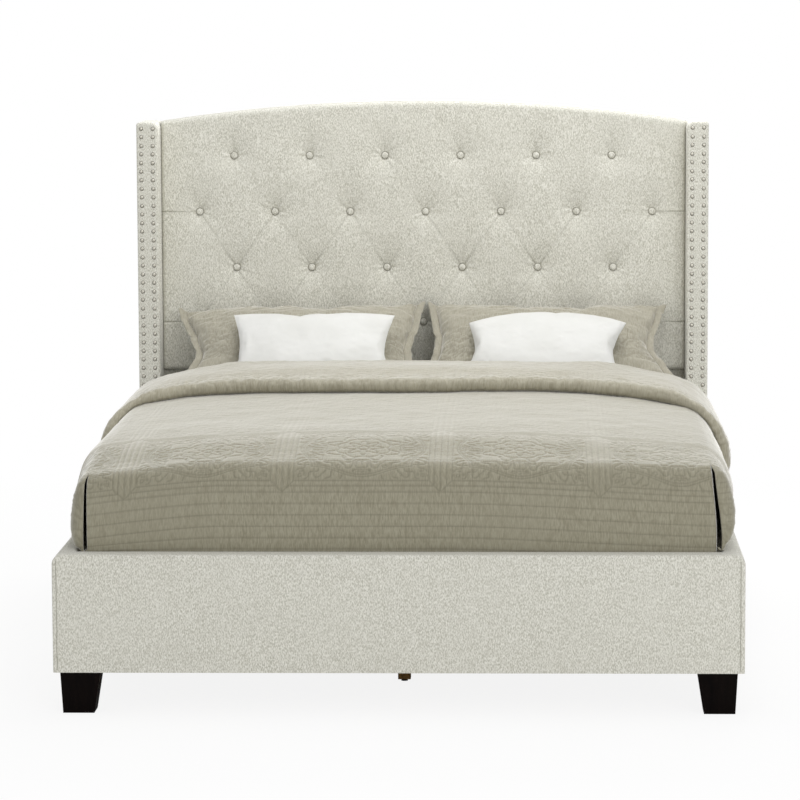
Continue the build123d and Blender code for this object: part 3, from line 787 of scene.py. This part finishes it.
def draped(u, y):
    """Where the cloth at U across lies at that y, on the top or down a side."""
    side = np.sign(u)
    half = half_width(y)
    arc = np.clip(np.abs(u) - half, 0, None)
    out, z = down_side(arc)
    down = smooth_step(arc, 0.05, 0.20)
    wave = 0.006 * np.sin(y * 19 + 1.3 * side + 2 * noise(y, 0, 0.4, 6)) * down
    x = np.minimum(np.abs(u), half) + out * side_reach(side, y) + wave * smooth_step(y, -0.95, -0.6)
    return np.stack([side * x, y + 0 * u, z], axis=-1)


def hung(u, arc):
    """Where the cloth at U across lies that far down the foot drop."""
    out = np.interp(arc, FOOT_ALONG, FOOT_CURVE[:, 0])
    z = np.interp(arc, FOOT_ALONG, FOOT_CURVE[:, 1])
    sway = 0.0016 * np.sin(u * 9.1 + 0.6) * smooth_step(arc, 0.05, 0.2)
    spread = 0.013 * smooth_step(arc, 0.02, 0.22) * smooth_step(u, 0.35, FOOT_HALF)
    return np.stack([u + spread, FOOT_LEVEL_Y - out + sway, z + 0 * u], axis=-1)


def wrapped(side, arc, turn):
    """The side flap where it goes round the foot corner, up to the open slit."""
    out, z = down_side(arc)
    out = out * side_reach(side, FOOT_LEVEL_Y)
    front = np.interp(-z, -FOOT_CURVE[:, 1], FOOT_CURVE[:, 0])
    top, bottom = SLIT_GAP[side]
    gap = top * smooth_step(arc, 0.012, 0.06) + (bottom - top) * smooth_step(arc, 0.05, 0.24)
    x = FOOT_HALF + gap * np.sin(turn) + np.maximum(out, gap * 0.6) * np.cos(turn)
    y = FOOT_LEVEL_Y - (front - 0.001) * np.sin(turn)
    return np.stack([side * x, y, z + 0 * turn], axis=-1)


def settled(points):
    """The slack of the whole cloth: a soft dome, corners that droop at the foot, and a slow swell."""
    x, y, z = np.moveaxis(points, -1, 0)
    share = smooth_step(z, 0.37, 0.45)
    foot = 1 - smooth_step(y, -1.02, -0.70)
    left = 0.028 * np.clip((-x - 0.44) / 0.293, 0, 1.1) ** 1.3
    right = 0.004 * smooth_step(x, 0.50, 0.78)
    top = smooth_step(z, 0.56, 0.609)
    swell = 0.0022 * noise(x, y, 0.31, 4) + 0.0012 * noise(x, y, 0.15, 5)
    dome = DOME * (1 - np.clip(np.abs(x) / 0.78, 0, 1) ** 2.5) * smooth_step(y, -1.05, -0.80)
    moved = points.copy()
    moved[..., 2] += top * (swell + dome * (1 - smooth_step(y, 0.28, 0.56)))
    moved[..., 2] -= share * (left + right) * foot + 0.005 * smooth_step(-y, 0.5, 1.0) * top
    return moved


def add_hem(cloth, edge, inward, steps, flip):
    """A strip that rolls an edge of the cloth under, in steps along the two inward directions."""
    strip = [edge] + [edge + inward[0] * depth + inward[1] * lift for depth, lift in steps]
    cloth.add_grid(np.stack(strip, axis=1), flip=flip)


def quilt_middle(arcs, ys, us):
    """The foot drop and the flat top as one grid, with the painted shade of their stitches."""
    margin = us[1] - us[0]
    wide = np.concatenate([[us[0] - margin], us, [us[-1] + margin]])
    u, arc = np.meshgrid(wide, arcs)
    u_top, y = np.meshgrid(wide, ys)
    points = settled(np.concatenate([hung(u, arc), draped(u_top, y)]))
    v = np.concatenate([FOOT_V - arc, FOOT_V + y - FOOT_LEVEL_Y])
    moved, stitch_painted_shade = quilted(points, np.concatenate([u, u_top]), v)
    return moved[:, 1:-1], stitch_painted_shade[:, 1:-1]


def quilt_flank(side, ys, margin, border):
    """A side drop and the flap that goes round its foot corner, joined to the top's border."""
    arcs = np.concatenate([[0.0], np.arange(FLANK_STEP, SIDE_ALONG[-1] + 0.026, FLANK_STEP)])
    turns = np.radians(FLAP_TURNS)
    across, y = np.meshgrid(np.concatenate([[-margin], arcs]), ys)
    across_turn, turn = np.meshgrid(np.concatenate([[0.0], arcs]), turns)
    flap = wrapped(side, across_turn, turn)
    flap[:, 0] = flap[:, 1]
    points = settled(np.concatenate([flap, draped(side * (FOOT_HALF + across), y)]))
    u = side * (FOOT_HALF + np.concatenate([across_turn, across]))
    v = np.concatenate([FOOT_V - turn / turns[0] * FLAP_LENGTH, FOOT_V + y - FOOT_LEVEL_Y])
    moved, stitch_painted_shade = quilted(points, u, v, strength=0.85, turned=side < 0)
    moved = moved[:, 1:]
    moved[len(turns) :, 0] = border
    moved[: len(turns), 0] = border[0]
    return moved, stitch_painted_shade[:, 1:]


def make_quilt():
    arcs = np.arange(FOOT_ALONG[-1], 0.0, -CLOTH_STEP)
    near = np.arange(FOOT_LEVEL_Y, FOOT_STEP_END, FLANK_STEP)
    ys = np.concatenate([near, np.arange(near[-1] + TOP_STEP, QUILT_END_Y, TOP_STEP)])
    us = np.linspace(-FOOT_HALF, FOOT_HALF, int(2 * FOOT_HALF / CLOTH_STEP) | 1)
    rows = len(arcs)
    centre, stitch_painted_shade = quilt_middle(arcs, ys, us)
    quilt = Builder()
    quilt.add_grid(centre, stitch_painted_shade)
    for column, side in ((0, -1), (-1, 1)):
        add_hem(quilt, centre[:rows, column], (HEADWARD, side * ACROSS), FOOT_DROP_EDGE, side > 0)
    for column, side in ((0, -1), (-1, 1)):
        flank, stitch_painted_shade = quilt_flank(side, ys, us[1] - us[0], centre[rows:, column])
        quilt.add_grid(flank, stitch_painted_shade, flip=side < 0)
        add_hem(quilt, flank[0], (HEADWARD, -side * ACROSS), FLAP_EDGE, side < 0)
        add_hem(quilt, flank[:, -1], (-side * ACROSS, UP), SIDE_EDGE, side < 0)
    return quilt.piece(
        "quilt_cloth", "quilted_cotton", "quilted_cotton", merge=0.00002, attribute="stitch_painted_shade"
    )


# The turned-back band: where its front fold lies at each U on the left and on the right. Then
# its section: the front roll, the rise behind it, and the tail, which tapers down to the quilt.
BAND_FRONT = {
    -1: (
        (0.0, 0.100), (0.30, 0.131), (0.45, 0.172), (0.54, 0.182), (0.63, 0.176), (0.69, 0.133),
        (0.74, 0.101), (0.79, 0.050), (0.84, -0.020), (0.90, -0.050), (1.10, -0.060),
    ),
    1: (
        (0.0, 0.100), (0.20, 0.128), (0.34, 0.165), (0.46, 0.189), (0.56, 0.164), (0.63, 0.132),
        (0.69, 0.094), (0.74, 0.030), (0.78, -0.035), (0.84, -0.075), (0.90, -0.085), (1.10, -0.090),
    ),
}
BAND_BACK = 0.565
BAND_ROLL = (
    (0.026, -0.003), (0.010, 0.001), (-0.001, 0.010), (-0.001, 0.024), (0.007, 0.034), (0.020, 0.039),
    (0.040, 0.040),
)
BAND_RISE = 0.041
BAND_TAIL = ((0.014, 1.0), (0.008, 0.98), (0.003, 0.90), (0.0, 0.74), (0.001, 0.45), (0.004, 0.0))
BAND_SIDE_ARC = 0.195
BAND_ROWS = 130
BAND_STEP = 0.0042


def band_front(u):
    """Where the front fold of the band lies at each U, with the corners of its line rounded."""
    left, right = ([np.array(p) for p in zip(*BAND_FRONT[side])] for side in (-1, 1))
    spread = np.linspace(-0.035, 0.035, 9)
    shares = bell(spread, 0.02)
    total = sum(
        share * np.where(u < 0, np.interp(-u + d, *left), np.interp(u + d, *right))
        for d, share in zip(spread, shares)
    )
    return total / shares.sum()


def band_rows(us):
    """The band's y, its height off the quilt and its length of cloth, row by row at each U."""
    roll = smooth_curve(BAND_ROLL, 26)[0]
    front = band_front(us) + 0.0025 * noise(us, 0, 0.21, 7)
    length = BAND_BACK - front
    out = np.abs(us)
    full = 1 - 0.25 * smooth_step(out, 0.70, 0.85) - 0.27 * bell(out - 0.775, 0.055)
    rise = 1 - smooth_step(out, 0.48, 0.76)
    rows = [(front + d * full, h * full, 0 * us + d) for d, h in roll]
    for q in np.linspace(0, 1, BAND_ROWS + 1)[1:]:
        start = roll[-1, 0] * full
        d = start + (length - start - BAND_TAIL[0][0]) * q
        h = roll[-1, 1] * full + BAND_RISE * rise * smooth_step(q, 0.0, 1.15)
        rows.append((front + d, h, d))
    top = rows[-1][1]
    for d, share in BAND_TAIL[1:]:
        rows.append((BAND_BACK - d + 0 * us, top * share, length - d + (1 - share) * top))
    return np.moveaxis(np.array(rows), 1, 0)


def outward_at(u, y):
    """The direction straight out of the draped quilt there, seen along the bed."""
    arc = np.clip(np.abs(u) - half_width(y), 0, None)
    slope = np.gradient(SIDE_CURVE, SIDE_ALONG, axis=0)
    x = -np.interp(arc, SIDE_ALONG, slope[:, 1]) * np.sign(u)
    z = np.interp(arc, SIDE_ALONG, slope[:, 0])
    return np.stack([x, 0 * x, z], axis=-1) / np.hypot(x, z)[..., None]


def make_band():
    """The turned-back head end of the quilt, and the mean length of its cloth."""
    reach = LEVEL_HALF + BAND_SIDE_ARC
    us = np.linspace(-reach, reach, int(2 * reach / BAND_STEP) | 1)
    y, height, cloth = band_rows(us)
    cloth = cloth + 0.05
    u = np.broadcast_to(us, y.shape)
    pucker = 0.0020 * noise(u, y * 0.35, 0.050, 8) + 0.0018 * noise(u, y * 0.4, 0.016, 9)
    pucker += 0.0012 * noise(u, y * 0.9, 0.0095, 10)
    pucker *= smooth_step(height, 0.0, 0.02) * (1 - 0.7 * smooth_step(cloth, 0.10, 0.16))
    points = settled(draped(u, y)) + (height + pucker)[..., None] * outward_at(u, y)
    strength = 0.7 * (1 - 0.75 * smooth_step(cloth, 0.10, 0.25))
    moved, stitch_painted_shade = quilted(points, u, cloth + 0.03, strength)
    band = Builder()
    band.add_grid(moved, stitch_painted_shade)
    made = band.piece("quilt_turn_back", "quilt_reverse", "quilted_cotton", attribute="stitch_painted_shade")
    return made, float(np.mean(cloth[-1] - cloth[0]))


def make_bedding():
    cloth = make_quilt()
    band, band_length = make_band()
    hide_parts("quilt")


# Mattress

# Section of the mattress's piped edge: inset from its side, depth from its top or bottom face
MATTRESS_EDGE = (
    (0.030, 0.0),
    (0.012, 0.001),
    *((0.004 + 0.006 * (1 - math.sin(a)), 0.014 * (1 - math.cos(a))) for a in (0.4, 0.8, 1.3)),
    *((0.0, 0.020), (0.0, 0.024), (0.0, 0.028), (0.006, 0.034), (0.003, 0.060)),
)
MATTRESS_CORNER = 0.058
MATTRESS_PLACES = 144


def mattress_ring(low, high, inset, z):
    """The mattress's outline with round corners, drawn in by the inset, at the height z."""
    r = max(MATTRESS_CORNER - inset, 0.005)
    centre = ((high[0] + low[0]) / 2, (high[1] + low[1]) / 2)
    straight = ((high[0] - low[0]) / 2 - inset - r, (high[1] - low[1]) / 2 - inset - r)
    points = []
    for quarter, (qx, qy) in enumerate(((1, -1), (1, 1), (-1, 1), (-1, -1))):
        for a in np.radians(np.linspace(-90, 0, 10) + 90 * quarter):
            x = centre[0] + qx * straight[0] + r * math.cos(a)
            y = centre[1] + qy * straight[1] + r * math.sin(a)
            points.append((x, y, z))
    closed = np.array(points + points[:1])
    length = run_along(closed)
    at = np.linspace(0, length[-1], MATTRESS_PLACES, endpoint=False)
    return np.stack([np.interp(at, length, closed[:, k]) for k in range(3)], axis=1)


def make_mattress():
    """A mattress with piped top and bottom edges, pressed by the quilt along its top."""
    low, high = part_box("mattress")
    low = (low.x + 0.003, low.y + 0.003, low.z + 0.0006)
    high = (high.x - 0.003, high.y - 0.003, high.z - 0.0012)
    levels = [(inset, low[2] + depth) for inset, depth in MATTRESS_EDGE]
    levels += [(inset, high[2] - depth) for inset, depth in reversed(MATTRESS_EDGE)]
    levels.append((0.20, high[2]))
    rings = np.array([mattress_ring(low, high, inset, z) for inset, z in levels])
    top = rings[..., 2] > (low[2] + high[2]) / 2
    sunk = settled(rings)
    sunk[..., 2] = np.minimum(sunk[..., 2] - 0.003, rings[..., 2])
    rings = np.where(top[..., None], sunk, rings)
    mattress = Builder()
    mattress.add_grid(rings, wrap=True)
    mattress.cap(rings[0], flip=True)
    mattress.cap(rings[-1])
    made = mattress.piece("mattress_body", "ticking", "ticking", merge=0.00002)
    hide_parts("mattress")


# Pillows

PILLOW_STEP = 0.0125
# Blowing up: the share of the thickness that it starts from, the number of frames, how much of
# the result is mixed with the drawn shape, and the cloth
SLACK = (1, 1, 0.8)
FRAMES = 24
BLOWN_SHARE = 0.55
CLOTH = {
    "quality": 6,
    "mass": 0.25,
    "tension_stiffness": 18,
    "compression_stiffness": 18,
    "shear_stiffness": 6,
    "bending_stiffness": 0.25,
    "use_pressure": True,
    "uniform_pressure_force": 3.0,
}


def pillow_grids(width, depth, crown, step, waist, ears, swell=0.0, lean=0.0):
    """Front and back of a plain pillow lying flat. Its sides are drawn in by the share waist, its
    corners lie lower than the middle of the long edges by the share ears, it is fuller in its
    upper half by the share swell, and its lower edge is off to one side by the length lean."""
    s = np.linspace(-1, 1, int(width / step) | 1)
    t = np.linspace(-1, 1, int(depth / step) | 1)
    t, s = np.meshgrid(t, s, indexing="ij")
    x = s * width / 2 * (1 - waist * (1 - t**2))
    y = t * depth / 2 * (1 - ears * np.abs(s) ** 2.6)
    body = ((1 - s**2) * (1 - t**2)) ** 0.46
    x = x + lean * (t - 1) / 2
    z = crown * body * (0.84 + 0.16 * (1 - s**4) * (1 - t**4)) * (1 + swell * t)
    return np.stack([x, y, z], axis=2), np.stack([x, y, -z], axis=2)


def inflate(front, back):
    """Blows the closed shape up as cloth, and returns the two faces where they come to rest."""
    rows, columns = front.shape[:2]
    size = rows * columns
    edge = np.zeros((rows, columns), bool)
    edge[[0, -1]] = True
    edge[:, [0, -1]] = True
    number = np.arange(2 * size)
    number[size:][edge.ravel()] = number[:size][edge.ravel()]
    used, packed = np.unique(number, return_inverse=True)
    faces = grid_faces(rows, columns)
    faces = np.concatenate([packed[faces], packed[faces[:, ::-1] + size]])
    points = np.concatenate([front.reshape(-1, 3), back.reshape(-1, 3)])
    mesh = bpy.data.meshes.new("inflating")
    mesh.from_pydata(points[used].tolist(), [], faces.tolist())
    work = added_object("inflating", mesh)
    cloth = work.modifiers.new("Cloth", "CLOTH")
    for key, value in CLOTH.items():
        setattr(cloth.settings, key, value)
    cloth.settings.effector_weights.gravity = 0
    cloth.collision_settings.use_self_collision = False
    scene = bpy.context.scene
    for frame_number in range(1, FRAMES + 1):
        scene.frame_set(frame_number)
    shown = work.evaluated_get(bpy.context.evaluated_depsgraph_get())
    result = np.zeros(len(shown.data.vertices) * 3)
    shown.data.vertices.foreach_get("co", result)
    result = result.reshape(-1, 3)[packed]
    scene.frame_set(1)
    bpy.data.objects.remove(work)
    bpy.data.meshes.remove(mesh)
    return result[:size].reshape(rows, columns, 3), result[size:].reshape(rows, columns, 3)


def pillow_shape(size):
    """A pillow's two faces: the drawn shape, with the creases that blowing it up as cloth gives."""
    front, back = pillow_grids(step=PILLOW_STEP, **size)
    blown = inflate(front * SLACK, back * SLACK)
    both = np.concatenate([b.reshape(-1, 3) for b in blown])
    middle = (both.max(0) + both.min(0)) / 2
    scale = np.array([size["width"], size["depth"], 2 * size["crown"]]) / (both.max(0) - both.min(0))
    blown = [(b - middle) * scale for b in blown]
    return front + (blown[0] - front) * BLOWN_SHARE, back + (blown[1] - back) * BLOWN_SHARE


def refined(grid):
    """The grid at twice the density, smoothly in between."""
    for axis in (0, 1):
        n = grid.shape[axis]
        p = np.moveaxis(grid, axis, 0)
        before = np.concatenate([2 * p[:1] - p[1:2], p[:-1]])
        after = np.concatenate([p[1:], 2 * p[-1:] - p[-2:-1]])
        beyond = np.concatenate([after[1:], 2 * after[-1:] - after[-2:-1]])
        middle = (9 * (p + after) - (before + beyond)) / 16
        out = np.empty((2 * n - 1,) + p.shape[1:])
        out[0::2] = p
        out[1::2] = middle[:-1]
        grid = np.moveaxis(out, 0, axis)
    return grid


def placed(points, tilt, node, shift):
    """Turns a flat lying pillow up by its tilt and sets it where the node's solid is."""
    turn = np.array(Euler((math.radians(tilt), 0, 0)).to_matrix())
    turned = [p @ turn.T for p in points]
    everything = np.concatenate([p.reshape(-1, 3) for p in turned])
    centre = (everything.max(0) + everything.min(0)) / 2
    low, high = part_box(node)
    target = (np.array(low) + np.array(high)) / 2 + np.array(shift)
    moved = [p - centre + target for p in turned]
    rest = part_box("mattress")[1].z + 0.0008
    for p in moved:
        p[..., 2] = np.maximum(p[..., 2], rest)
    return moved


LUMBAR_TILT = 43.0
LUMBARS = {
    "left": dict(width=0.474, depth=0.285, crown=0.044, waist=0.05, ears=0.13),
    "right": dict(width=0.472, depth=0.290, crown=0.054, waist=0.05, ears=0.24, lean=0.022),
}
LUMBAR_SHIFTS = {"left": (0.028, 0.0, 0.011), "right": (0.017, 0.0, 0.006)}
SHAM_TILT = 33.0
SHAM = dict(width=0.684, depth=0.350, crown=0.074, waist=0.015, ears=0.0, swell=0.22)
SHAM_SHIFT = (0.008, 0.007, 0.006)
# How far each sham's outer and inner side are drawn in, by the place up the pillow
SHAM_TUCKS = {
    "left": (
        ((-0.20, 0.020), (-0.14, 0.036), (-0.07, 0.050), (0.0, 0.030), (0.11, 0.006), (0.20, 0.000)),
        ((-0.20, 0.016), (-0.07, 0.016), (0.0, 0.008), (0.07, -0.004), (0.20, -0.006)),
    ),
    "right": (
        ((-0.20, 0.000), (-0.10, 0.030), (-0.02, 0.050), (0.11, 0.032), (0.20, 0.024)),
        ((-0.20, -0.020), (-0.07, -0.008), (0.0, -0.002), (0.07, -0.005), (0.20, -0.006)),
    ),
}
SHAM_ORNAMENT_PITCH = 0.21
SHAM_ORNAMENT_AT = 0.311
# How far each sham's outer top corner sags
SHAM_SAG = {"left": 0.030, "right": 0.006}
# Widths of a sham's flange at its sides, top and bottom
FLANGE = (0.022, 0.030, 0.020)


def make_lumbar_pillows():
    for number, (name, size) in enumerate(LUMBARS.items()):
        grids = [refined(refined(g)) for g in pillow_shape(size)]
        faces = []
        for sign, grid in zip((1, -1), grids):
            x, y, depth = np.moveaxis(grid, -1, 0)
            wrinkle = 0.0022 * noise(x, y, 0.070, 9 + number)
            wrinkle += 0.0009 * noise(x, y * 1.6, 0.026, 11 + number)
            wrinkle += 0.00035 * noise(x, y, 0.009, 15 + number)
            moved = grid.copy()
            moved[..., 2] += sign * wrinkle * np.clip(np.abs(depth) / 0.012, 0, 1)
            faces.append(moved)
        faces = placed(faces, LUMBAR_TILT, f"lumbar_pillow_{name}", LUMBAR_SHIFTS[name])
        pillow = Builder()
        pillow.add_grid(faces[0])
        pillow.add_grid(faces[1], flip=True)
        made = pillow.piece(f"lumbar_{name}", "white_cotton", "white_cotton", merge=0.00005)
        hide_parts(f"lumbar_pillow_{name}")


def border_of(grid):
    return np.concatenate([grid[0, :-1], grid[:-1, -1], grid[-1, :0:-1], grid[:0:-1, 0]])


# Section of a flange: share of its width, and height off its middle
FLANGE_RINGS = (
    (0.0, 0.0), (0.08, 0.0002), (0.2, 0.0014), (0.4, 0.0022), (0.6, 0.0024), (0.8, 0.0022),
    (0.97, 0.0020), (1.0, 0.0), (0.97, -0.0020), (0.7, -0.0024), (0.4, -0.0022), (0.1, -0.0020),
)


def flange_rings(border, phase):
    """Rings of points from a pillow's seam out to the edge of its flange and back. The flange
    lies flat at the sides, flops behind the pillow along the top and crumples at the corners."""
    count = len(border)
    ahead = np.roll(border, -5, axis=0) - np.roll(border, 5, axis=0)
    outward = np.stack([ahead[:, 1], -ahead[:, 0], np.zeros(count)], axis=1)
    outward /= np.linalg.norm(outward, axis=1, keepdims=True)
    along = run_along(border)
    corner = np.clip(np.abs(outward[:, 0] * outward[:, 1]) * 2, 0, 1)
    sides, top, bottom = FLANGE
    up = np.clip(outward[:, 1], 0, 1)
    down = np.clip(-outward[:, 1], 0, 1)
    width = sides + (top - sides) * up + (bottom - sides) * down
    wave = 0.0060 * noise(along, 0, 0.085, phase)
    wave += 0.0040 * noise(along, 0, 0.033, phase + 1)
    made = []
    for share, lift in FLANGE_RINGS:
        ring = border + outward * (width * share * (1 + 0.2 * corner) * (1 - 0.75 * up**3))[:, None]
        ring[:, 2] += lift + wave * share**1.4 - 0.95 * width * share * up**3
        ring[:, 2] += 0.010 * corner * share**2 * np.sin(along / 0.011)
        made.append(ring)
    return np.array(made)


def tucked(points, side, tucks, sag):
    """Draws a sham's outer and inner side in, each by its own curve up the pillow, and lets its
    outer top corner sag."""
    x = points[..., 0]
    moved = points.copy()
    moved[..., 1] -= sag * smooth_step(side * x, 0.10, 0.36) * smooth_step(points[..., 1], 0.0, 0.17)
    for sign, curve in zip((side, -side), tucks):
        dense = smooth_curve(curve, 80)[0]
        depth = np.interp(points[..., 1], dense[:, 0], dense[:, 1])
        moved[..., 0] -= sign * depth * smooth_step(sign * x, 0.05, 0.36)
    return moved


def crumpled(grid, sign, shift):
    """One face of a sham with its crumples and stitched ornament, and the painted shade of its stitches."""
    u, v, depth = np.moveaxis(grid, -1, 0)
    a = (u + SHAM_ORNAMENT_AT) % SHAM_ORNAMENT_PITCH - SHAM_ORNAMENT_PITCH / 2
    away = ornament_distance(a * 1.5, v * 1.6 + 0.02)
    inside = np.clip(np.abs(depth) / 0.010, 0, 1)
    share = inside * (0.25 + 0.75 * smooth_step(-v, -0.06, 0.05))
    groove = 0.0018 * bell(away, 0.005) * share
    crumple = 0.0026 * noise(u * 0.55, v, 0.032, 11 + shift) + 0.0050 * noise(u, v, 0.10, 12 + shift)
    crumple += 0.0024 * noise(u * 0.4, v, 0.012, 14 + shift) + 0.0010 * noise(u * 0.5, v, 0.006, 18)
    ends = bell(np.abs(u) - 0.325, 0.05) * smooth_step(v, 0.02, 0.14)
    crumple += 0.0060 * ends * noise(u * 0.8, v * 1.2, 0.026, 17 + shift)
    moved = grid.copy()
    moved[..., 2] += sign * (crumple * inside - groove)
    return moved, bell(away, 0.0035) * share


def make_shams():
    front, back = (refined(refined(g)) for g in pillow_shape(SHAM))
    for side, name in ((-1, "left"), (1, "right")):
        shift = 5 if side > 0 else 0
        upper, upper_stitch_painted_shade = crumpled(front, 1, shift)
        lower, lower_stitch_painted_shade = crumpled(back, -1, shift)
        flange = flange_rings(border_of(front), 20 + side)
        parts = [tucked(p, side, SHAM_TUCKS[name], SHAM_SAG[name]) for p in (upper, lower, flange)]
        parts = placed(parts, SHAM_TILT, f"sham_{name}", SHAM_SHIFT)
        # Painted shade on the flange, darkest at its seam with the pillow's body, plus a slight darkening
        # that varies at random across the rest; it goes into the stitch attribute.
        seam = np.repeat(np.exp(-np.arange(len(flange)) / 1.5)[:, None], flange.shape[1], axis=1)
        seam = np.clip(seam + 0.22 + 0.22 * noise(flange[..., 0], flange[..., 1], 0.013, 40 + side), 0, 1)
        sham = Builder()
        sham.add_grid(parts[0], upper_stitch_painted_shade)
        sham.add_grid(parts[1], lower_stitch_painted_shade, flip=True)
        sham.add_grid(np.concatenate([parts[2], parts[2][:1]]), np.concatenate([seam, seam[:1]]), wrap=True)
        made = sham.piece(
            f"pillow_sham_{name}", "sham_cotton", "quilted_cotton", merge=0.00005, attribute="stitch_painted_shade"
        )
        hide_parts(f"sham_{name}")


# Stage, light and camera

FLOOR_REACH = 30.0
WORLD_LEVEL = 0.585
# Each lamp's place, what it faces, its width and height, and its power in watts
LAMPS = {
    "top_softbox": ((0.3, 0.30, 2.9), (0.1, 0.45, 0.6), (2.2, 2.0), 33),
    "back_softbox": ((0.5, 2.40, 2.6), (0.1, 0.10, 0.6), (2.6, 1.2), 42),
    "front_softbox": ((3.4, -8.6, 4.0), (0.0, 0.0, 0.8), (5.0, 4.0), 222),
}


def floor_material():
    """Matt white near the bed, and for the camera fading to plain white further out."""
    g = Graph("floor")
    g.finish((0.93, 0.93, 0.93, 1.0), Roughness=0.9, Specular_IOR_Level=0.1)
    away = g.add("VectorMath", {0: g.place()}, operation="LENGTH").outputs["Value"]
    shown = g.math("MULTIPLY", g.spread(away, 1.6, 3.4, 0.88, 1.0), g.rays("Is Camera Ray"))
    white = g.add("Emission", {"Color": (1.0, 1.0, 1.0, 1.0), "Strength": 1.0})
    lit = g.tree.nodes["Principled BSDF"].outputs["BSDF"]
    mixed = g.add("MixShader", {"Fac": shown, 1: lit, 2: white.outputs["Emission"]})
    g.set(g.tree.nodes["Material Output"].inputs["Surface"], mixed.outputs["Shader"])
    return g.owner


def make_stage():
    mesh = bpy.data.meshes.new("floor")
    corners = [(x * FLOOR_REACH, y * FLOOR_REACH, 0) for x, y in ((-1, -1), (1, -1), (1, 1), (-1, 1))]
    mesh.from_pydata(corners, [], [(0, 1, 2, 3)])
    mesh.materials.append(floor_material())
    added_object("floor", mesh)


def make_world():
    """Plain white to the camera and in reflections, and dimmer where it lights the bed."""
    g = Graph(bpy.data.worlds.new("studio"))
    bpy.context.scene.world = g.owner
    clear = g.math("MAXIMUM", g.rays("Is Camera Ray"), g.rays("Is Glossy Ray"))
    clear = g.math("MAXIMUM", clear, g.rays("Is Transmission Ray"))
    background = g.tree.nodes["Background"]
    g.set(background.inputs["Color"], (1.0, 1.0, 1.0, 1.0))
    g.set(background.inputs["Strength"], g.spread(clear, 0.0, 1.0, WORLD_LEVEL, 1.0))


def make_lights():
    for name, (place, target, size, power) in LAMPS.items():
        lamp = bpy.data.lights.new(name, "AREA")
        lamp.shape = "RECTANGLE"
        lamp.size, lamp.size_y = size
        lamp.energy = power
        made = added_object(name, lamp)
        made.location = place
        aim = Vector(target) - Vector(place)
        made.rotation_euler = aim.to_track_quat("-Z", "Y").to_euler()


def make_camera():
    camera = bpy.data.cameras.new("camera")
    camera.sensor_width = SENSOR
    camera.lens = FOCAL_PIXELS * SENSOR / FRAME_PIXELS
    camera.shift_x = (FRAME_PIXELS / 2 - PRINCIPAL_X) / FRAME_PIXELS
    camera.clip_end = 100.0
    made = added_object("camera", camera)
    made.location = CAMERA_AT
    aim = Matrix.Rotation(CAMERA_TURN, 4, "Z") @ Matrix.Rotation(math.pi / 2 - CAMERA_PITCH, 4, "X")
    made.rotation_euler = (aim @ Matrix.Rotation(CAMERA_ROLL, 4, "Z")).to_euler()
    bpy.context.scene.camera = made


dress_cad_nodes()
make_headboard_pad()
make_buttons()
make_nailheads()
make_footboard_seams()
make_bedding()
make_mattress()
make_shams()
make_lumbar_pillows()
make_stage()
make_world()
make_lights()
make_camera()
bpy.context.scene.view_settings.view_transform = "Standard"
